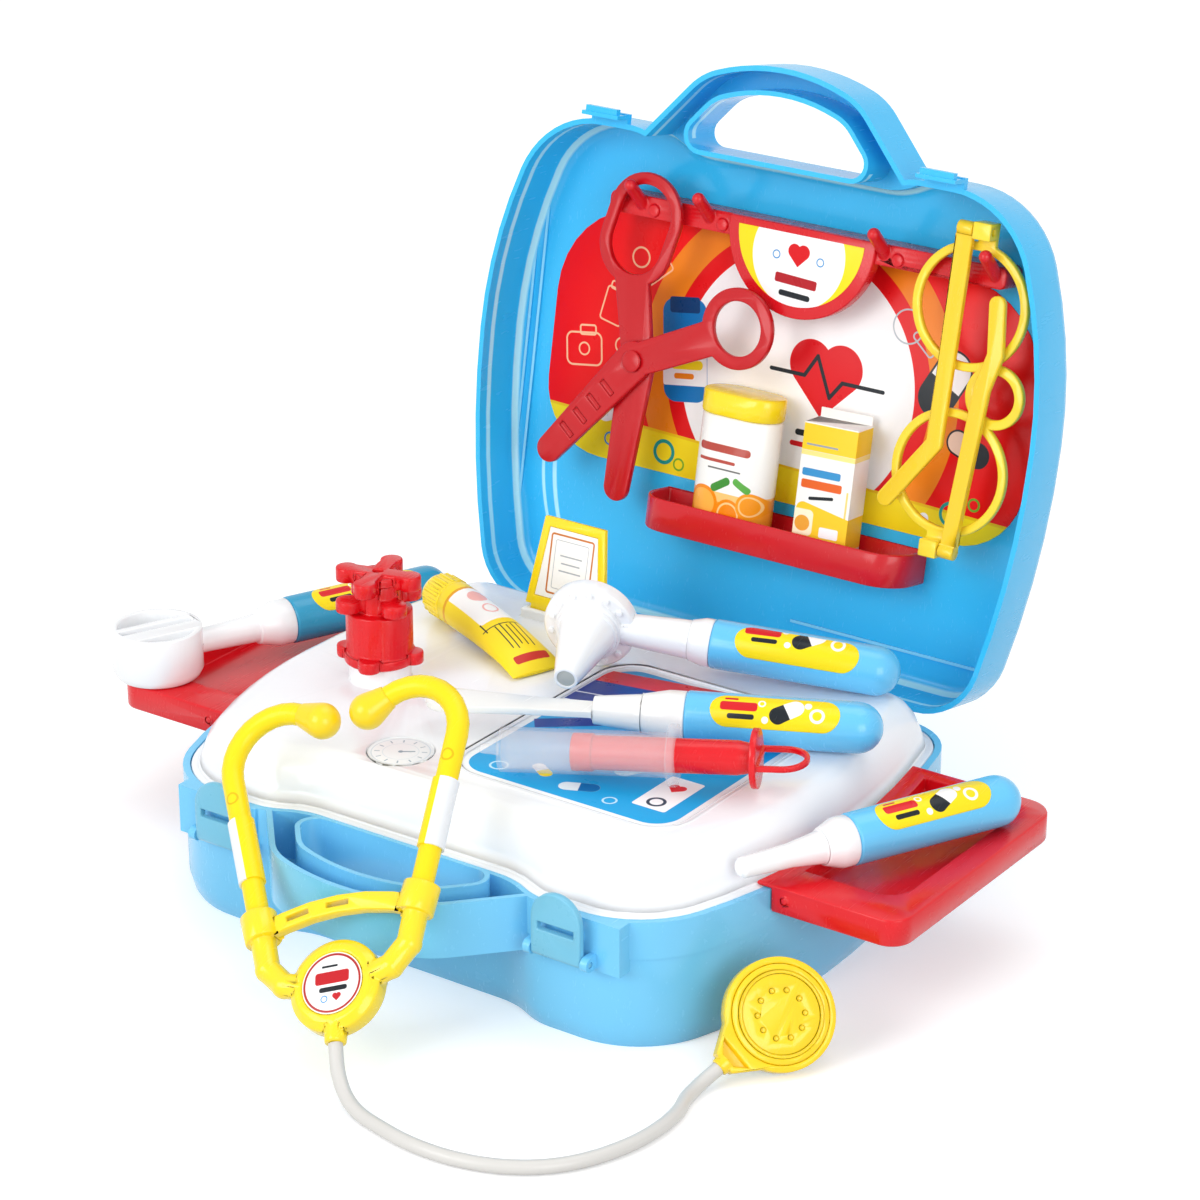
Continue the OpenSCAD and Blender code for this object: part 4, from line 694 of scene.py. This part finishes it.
tip_yellow = finish("tip yellow", "#F9D51C", roughness=0.3, clouding=0.05, Coat_Weight=0.2)
chest_yellow = finish("chest yellow", "#F7D317", roughness=0.24, clouding=0.08, Coat_Weight=0.3)
for name in ("scope_yoke", "spring_bar"):
    dress(name, toy_yellow, edge=0.0006)
for name in ("chest_cup", "chest_disc"):
    dress(name, chest_yellow, edge=0.0005)

SCOPE = Vector((21.8, -158.2, 30.3))
SCOPE_LEAN, SCOPE_ROLL, TUBE_SPLAY = math.radians(43), math.radians(27.7), 12.8
tilt = Matrix.Rotation(SCOPE_LEAN, 3, "X") @ Matrix.Rotation(SCOPE_ROLL, 3, "Z")
face = dict(across=tilt.col[0], up=tilt.col[1])
# Each sleeve is pale on its outer half and yellow on its inner one. A darker ring on the tube above
# it is painted shade for the edge of a raised stud, which is not modelled.
for side, sign in (("left", -1), ("right", 1)):
    pale_half = [("box", "#E9ECEF", sign * 42.2, 61, 15, 2.9, 0.2, 90 - sign * TUBE_SPLAY)]
    # Painted shade: a darker ring standing in for the edge of a raised stud.
    stud_edge_shade = [("ring", "#E0B912", sign * 44.5, 83.6, 2.2, 0.7)]
    for part, marks in (("sleeve_", pale_half), ("ear_tube_", stud_edge_shade)):
        look = printed(part + side, "#FBDD1E", marks, SCOPE, roughness=0.24, **face)
        dress(part + side, look, edge=0.0)
    dress("ear_tip_" + side, tip_yellow, edge=0.0)
badge_marks = (
    [("ring", "#B4322F", 0, 0, 11.1, 0.9), ("box", "#C3242B", 0, 2.2, 6.8, 2.4, 1.1, 0)]
    + [("box", INK, 0.5, -2.3, 5.6, 1.0, 0.9, 0), ("ring", "#2A8FD0", -3, -5.9, 1.2, 0.45)]
    + heart(2, -5.8, 3.4, "#C3242B")
    + [("box", INK, -1, 6.7, 3.2, 0.45, 0.4, 0)]
)
badge = printed("badge sticker", "#FBFBFB", badge_marks, SCOPE, **face)
dress("scope_badge", badge, edge=0.0001)

# ---- Stethoscope hose ----
# A soft pale vinyl hose, from the foot of the yoke out over the floor and back up to the stem of
# the chest piece.

HOSE_RADIUS = 0.0027
LYING = 3
GLAND_REACH, STEM_REACH = 22, 30
gland_dir = -tilt.col[1]
hose_start = SCOPE + GLAND_REACH * gland_dir
stem_dir = Vector((-0.30071, -0.85053, -0.43148))
hose_end = Vector((153, -67.5, 19.552)) + STEM_REACH * stem_dir


def beside(p, x, y, k):
    """A point beside one end of the hose, where k falls from 1 at that end to 0 on the floor."""
    return Vector((p.x + x, p.y + y, LYING + k * (p.z - LYING)))


route = [
    hose_start + 0.1 * gland_dir,
    beside(hose_start, 5.7, -6, 0.52),
    beside(hose_start, 13, -11, 0.17),
    beside(hose_start, 22, -15, 0.02),
    Vector((66, -190.5, LYING)),
    Vector((81, -193, LYING)),
    Vector((98, -192.5, LYING)),
    Vector((115, -187.5, LYING)),
    Vector((129, -178, LYING)),
    Vector((138.5, -165, LYING)),
    Vector((144.5, -149, LYING)),
    Vector((146.5, -134, LYING)),
    Vector((145.6, -121.5, LYING)),
    beside(hose_end, -1, -19.4, 0.03),
    beside(hose_end, -1.9, -11.4, 0.12),
    beside(hose_end, -1.4, -5.3, 0.46),
    hose_end + 0.3 * stem_dir,
]


def through(points, steps):
    """Points along a smooth curve that passes through all the given ones."""
    last = len(points) - 1
    found = []
    for i in range(last):
        a, b = points[max(i - 1, 0)], points[i]
        c, d = points[i + 1], points[min(i + 2, last)]
        for k in range(steps):
            t = k / steps
            found.append(
                b
                + t * (c - a) / 2
                + t * t * (a - 2.5 * b + 2 * c - 0.5 * d)
                + t**3 * (-0.5 * a + 1.5 * b - 1.5 * c + 0.5 * d)
            )
    return found + [points[last]]


line = [point / 1000 for point in through(route, 6)]
curve = bpy.data.curves.new("hose", "CURVE")
curve.dimensions = "3D"
curve.bevel_depth = HOSE_RADIUS
curve.bevel_resolution = 6
curve.use_fill_caps = True
spline = curve.splines.new("POLY")
spline.points.add(len(line) - 1)
for held, point in zip(spline.points, line):
    held.co = (*point, 1)
hose = bpy.data.objects.new("stethoscope_hose", curve)
bpy.context.scene.collection.objects.link(hose)
hose_vinyl = finish("hose vinyl", "#D3D1CD", roughness=0.3, clouding=0.04, ripple=0.3, Coat_Weight=0.15)
curve.materials.append(hose_vinyl)
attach(hose, "stethoscope")
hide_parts("scope_hose")

# ---- Room ----
# A plain white floor, which shows white to the camera and grey-white to the object, soft lamps, and
# the camera at its place in front and to the right.


def switched(tree, seen, hidden):
    """seen for camera, glossy and transmission rays, hidden for the others."""
    path = put(tree, "LightPath").outputs
    clear = maths(tree, "MAXIMUM", path["Is Camera Ray"], path["Is Glossy Ray"])
    clear = maths(tree, "MAXIMUM", clear, path["Is Transmission Ray"])
    return maths(tree, "MULTIPLY_ADD", clear, seen - hidden, hidden)


floor_mesh = bpy.data.meshes.new("floor")
REACH = 6.0
corners = [(-REACH, -REACH, 0), (REACH, -REACH, 0), (REACH, REACH, 0), (-REACH, REACH, 0)]
floor_mesh.from_pydata(corners, [], [(0, 1, 2, 3)])
floor = bpy.data.objects.new("floor", floor_mesh)
bpy.context.scene.collection.objects.link(floor)
floor_paper = bpy.data.materials.new("floor paper")
floor_paper.use_nodes = True
tree = floor_paper.node_tree
shader = tree.nodes["Principled BSDF"]
shader.inputs["Roughness"].default_value = 0.9
shader.inputs["Specular IOR Level"].default_value = 0.0
level = switched(tree, 0.9, 0.6)
grey = put(tree, "CombineColor", {0: level, 1: level, 2: level})
tree.links.new(grey.outputs[0], shader.inputs["Base Color"])
shader.inputs["Emission Color"].default_value = (1, 1, 1, 1)
tree.links.new(switched(tree, 0.3, 0.0), shader.inputs["Emission Strength"])
floor_mesh.materials.append(floor_paper)

world = bpy.data.worlds.new("soft room")
bpy.context.scene.world = world
world.use_nodes = True
sky = world.node_tree.nodes["Background"]
sky.inputs["Color"].default_value = (1, 1, 1, 1)
world.node_tree.links.new(switched(world.node_tree, 1.0, 0.68), sky.inputs["Strength"])

aim = Vector((0, 0.02, 0.1))
for name, place_at, size, watts in (
    ("key lamp", (-0.6, -2.0, 1.1), 1.3, 23),
    ("fill lamp", (1.8, -1.2, 0.9), 1.2, 17),
    ("top lamp", (0.2, 0.6, 2.2), 1.4, 9),
):
    lamp = bpy.data.lights.new(name, "AREA")
    lamp.shape = "SQUARE"
    lamp.size = size
    lamp.energy = watts
    stand = bpy.data.objects.new(name, lamp)
    stand.location = place_at
    stand.rotation_euler = (aim - Vector(place_at)).to_track_quat("-Z", "Y").to_euler()
    bpy.context.scene.collection.objects.link(stand)

TARGET = Vector((0.00428, 0.03183, 0.11203))
EYE = Vector((0.7858, -1.0811, 0.6878))
lens = bpy.data.cameras.new("camera")
lens.sensor_width = 36
lens.lens = 112.7
lens.clip_end = 50
camera = bpy.data.objects.new("camera", lens)
camera.location = EYE
camera.rotation_euler = (TARGET - EYE).to_track_quat("-Z", "Y").to_euler()
bpy.context.scene.collection.objects.link(camera)
bpy.context.scene.camera = camera
bpy.context.scene.view_settings.view_transform = "Standard"
